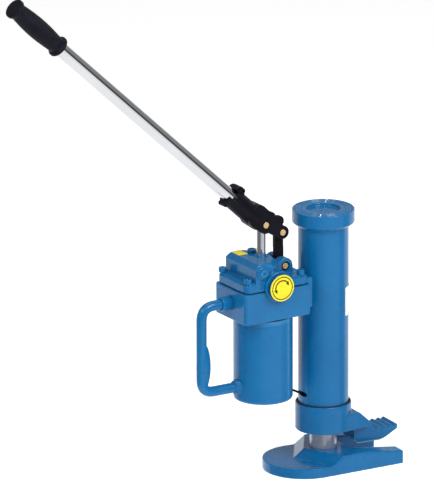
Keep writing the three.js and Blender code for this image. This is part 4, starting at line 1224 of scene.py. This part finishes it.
def white_label():
    """Blank label round the cylinder, with rounded corners."""
    span = Span("white_label")
    w = WHITE_LABEL
    radius = w.radius
    inner = radius - GAP
    start, end = w.from_angle * radius, w.to_angle * radius
    flat = rounded_rectangle(start, end, span.low.z, span.high.z, w.corner)
    sheet = bmesh.new()
    columns = w.steps
    discs = []
    for depth in (inner, radius):
        discs.append([sheet.verts.new((x, z, depth)) for x, z in flat])
    sheet.faces.new(discs[1])
    sheet.faces.new(list(reversed(discs[0])))
    count = len(flat)
    for i in range(count):
        j = (i + 1) % count
        sheet.faces.new([discs[0][i], discs[0][j], discs[1][j], discs[1][i]])
    for column in range(1, columns):
        x = start + (end - start) * column / columns
        geometry = sheet.verts[:] + sheet.edges[:] + sheet.faces[:]
        bmesh.ops.bisect_plane(sheet, geom=geometry, plane_co=(x, 0, 0), plane_no=(1, 0, 0))
    for vert in sheet.verts:
        x, z, depth = vert.co
        vert.co = (depth * math.cos(x / radius), depth * math.sin(x / radius), z)
    place(closed_form(sheet, bpy.data.meshes.new("label")), "white", "white_label")


def yellow_label():
    sheet = slab(Span("yellow_label"), YELLOW_LABEL.corner)
    place(eased(sheet, YELLOW_LABEL.edge, 2), "yellow", "yellow_label")


# ---- assembly
base_plate()
piston_rod()
claw()
cylinder()
head_cap()
pump_block()
pump_gasket()
pump_cover()
for number in (1, 2, 3, 4):
    cover_screw(f"cover_screw_{number}")
pump_bracket()
reservoir()
plunger_gland()
plunger()
pins()
retaining_rings()
link()
lever_socket()
clamp_screw()
lever_tube()
lever_grip()
release_valve()
plugs()
carrying_handle()
stay_rod()
white_label()
yellow_label()

# Pieces inside the jack keep their CAD shape.
HIDDEN = {
    "steel": ["piston_head", "piston_nut", "cylinder_liner", "gland_nut", "pump_barrel", "suction_strainer",
              "suction_ball", "delivery_ball", "delivery_plug", "release_spindle"],
    "rubber": ["piston_seal", "annulus_ring", "rod_seal", "rod_wiper", "cap_seal", "reservoir_seal",
               "plunger_seal"],
}
for finish, names in HIDDEN.items():
    for name in names:
        node = frame["nodes"][name]
        for slot in node.material_slots:
            slot.material = FINISH[finish][0]


# ---- studio
# Lengths here are in metres and angles in degrees.
CAMERA = Sizes(
    azimuth=-32.01, elevation=17.28, distance=30.0, roll=-0.094, aim=(-0.1275, 0.1317, 0.3618),
    lens=1288.3, sensor=36.0, clip_end=100.0,
)
LAMPS_AIM = (-0.05, 0, 0.25)
LAMPS = {
    "key": Sizes(azimuth=12.0, elevation=42.0, distance=2.6, side=1.3, power=42.0),
    "spark": Sizes(azimuth=-48.0, elevation=52.0, distance=2.6, side=0.22, power=9.0),
    "fill": Sizes(azimuth=-75.0, elevation=38.0, distance=2.6, side=1.1, power=15.0),
    "top": Sizes(azimuth=160.0, elevation=72.0, distance=2.4, side=1.6, power=12.0),
}
FLOOR = Sizes(half=60.0, drop=0.0002, glow=0.60)
WHITE = (1.0, 1.0, 1.0)
FAR_FLOOR = (0.95, 0.95, 0.96)
# Brightness of the surroundings by turns round the object, anticlockwise from the camera's side.
FLOOR_RING = (
    (0.0, 0.62), (0.10, 0.80), (0.205, 0.85), (0.228, 0.22), (0.295, 0.22), (0.318, 1.0), (0.68, 1.0),
    (0.705, 0.20), (0.93, 0.16), (0.975, 0.42),
)
WALL_RING = ((0.0, 0.20), (0.15, 0.22), (0.29, 0.16), (0.33, 1.0), (0.67, 1.0), (0.71, 0.16), (0.90, 0.22))
BACKDROP_RING = ((0.31, 0.0), (0.35, 1.0), (0.65, 1.0), (0.69, 0.0))
# Brightness of the room above, by the height of the direction (-1 down to 1 up) plus CEILING_LIFT.
CEILING = ((0.0, 0.02), (0.16, 0.03), (0.22, 0.20), (0.44, 0.24), (0.49, 0.36), (0.80, 0.26))
CEILING_LIFT = 0.2
# Heights of the direction between which one zone of the surroundings fades into the next.
FAR_FLOOR_ENDS = (-0.60, -0.42)
FLOOR_ENDS = (-0.31, -0.24)
WALL_ENDS = (-0.20, -0.16)
BACKDROP_ENDS = (0.13, 0.20)
BLUE_CAST = 1.02    # blue against red and green in the surroundings


def bearing(azimuth, elevation):
    """Unit vector from the object towards this direction; azimuth 0 is its front, -Y."""
    a, e = math.radians(azimuth), math.radians(elevation)
    return Vector((math.sin(a) * math.cos(e), -math.cos(a) * math.cos(e), math.sin(e)))


def camera():
    c = CAMERA
    back = bearing(c.azimuth, c.elevation)
    data = bpy.data.cameras.new("camera")
    data.lens = c.lens
    data.sensor_width = c.sensor
    data.clip_end = c.clip_end
    eye = added("camera", data)
    eye.rotation_mode = "QUATERNION"
    roll = Matrix.Rotation(math.radians(c.roll), 3, "Z").to_quaternion()
    eye.rotation_quaternion = (-back).to_track_quat("-Z", "Y") @ roll
    eye.location = Vector(c.aim) + back * c.distance
    bpy.context.scene.camera = eye


def softbox(name):
    box = LAMPS[name]
    back = bearing(box.azimuth, box.elevation)
    data = bpy.data.lights.new(name, "AREA")
    data.shape = "RECTANGLE"
    data.size = box.side
    data.size_y = box.side
    data.energy = box.power
    lamp = added(name, data)
    lamp.location = Vector(LAMPS_AIM) + back * box.distance
    lamp.rotation_mode = "QUATERNION"
    lamp.rotation_quaternion = back.to_track_quat("Z", "Y")


def floor():
    n = Nodes("floor_paper")
    n.feed("Base Color", n.blend(n.noise(3.0, 2.0), (0.86, 0.87, 0.86), (0.89, 0.89, 0.89)))
    n.value("Roughness", 0.9)
    n.value("Emission Color", (1.0, 1.0, 0.99, 1.0))
    n.value("Emission Strength", FLOOR.glow)
    half = FLOOR.half
    corners = [(-half, -half, 0), (half, -half, 0), (half, half, 0), (-half, half, 0)]
    mesh = bpy.data.meshes.new("floor")
    mesh.from_pydata(corners, [], [(0, 1, 2, 3)])
    mesh.materials.append(n.material)
    sheet = added("floor", mesh)
    sheet.location.z = -FLOOR.drop
    sheet.visible_glossy = False


def studio_world():
    """White sweep behind the object, darker room at its sides and above."""
    world = bpy.data.worlds.new("studio")
    bpy.context.scene.world = world
    t = Tree(world)
    split = t.node("ShaderNodeSeparateXYZ")
    t.link(t.node("ShaderNodeTexCoord").outputs["Generated"], split.inputs[0])
    front = math.radians(CAMERA.azimuth - 90)
    angle = t.math("ARCTAN2", split.outputs["Y"], split.outputs["X"])
    turns = t.math("DIVIDE", t.math("SUBTRACT", angle, front), 2 * math.pi)
    around = t.math("FRACT", t.math("ADD", turns, 1.0), 0.0)
    up = split.outputs["Z"]

    def above(ends):
        """0 under the lower of two heights, 1 over the upper one."""
        return t.ranged(up, 0.0, 1.0, *ends, "SMOOTHSTEP")

    below = t.blend(above(FAR_FLOOR_ENDS), FAR_FLOOR, t.ramp(around, FLOOR_RING))
    level = t.blend(above(FLOOR_ENDS), below, t.ramp(around, WALL_RING))
    ceiling = t.ramp(t.math("ADD", up, CEILING_LIFT), CEILING)
    backdrop = t.blend(above(BACKDROP_ENDS), WHITE, ceiling)
    room = t.blend(t.ramp(around, BACKDROP_RING), ceiling, backdrop)
    whole = t.blend(above(WALL_ENDS), level, room)
    seen = t.node("ShaderNodeLightPath").outputs["Is Camera Ray"]
    t.link(t.blend(seen, whole, WHITE), t.tree.nodes["Background"].inputs["Color"])


camera()
floor()
studio_world()
for lamp_name in LAMPS:
    softbox(lamp_name)
bpy.context.scene.view_settings.view_transform = "Standard"
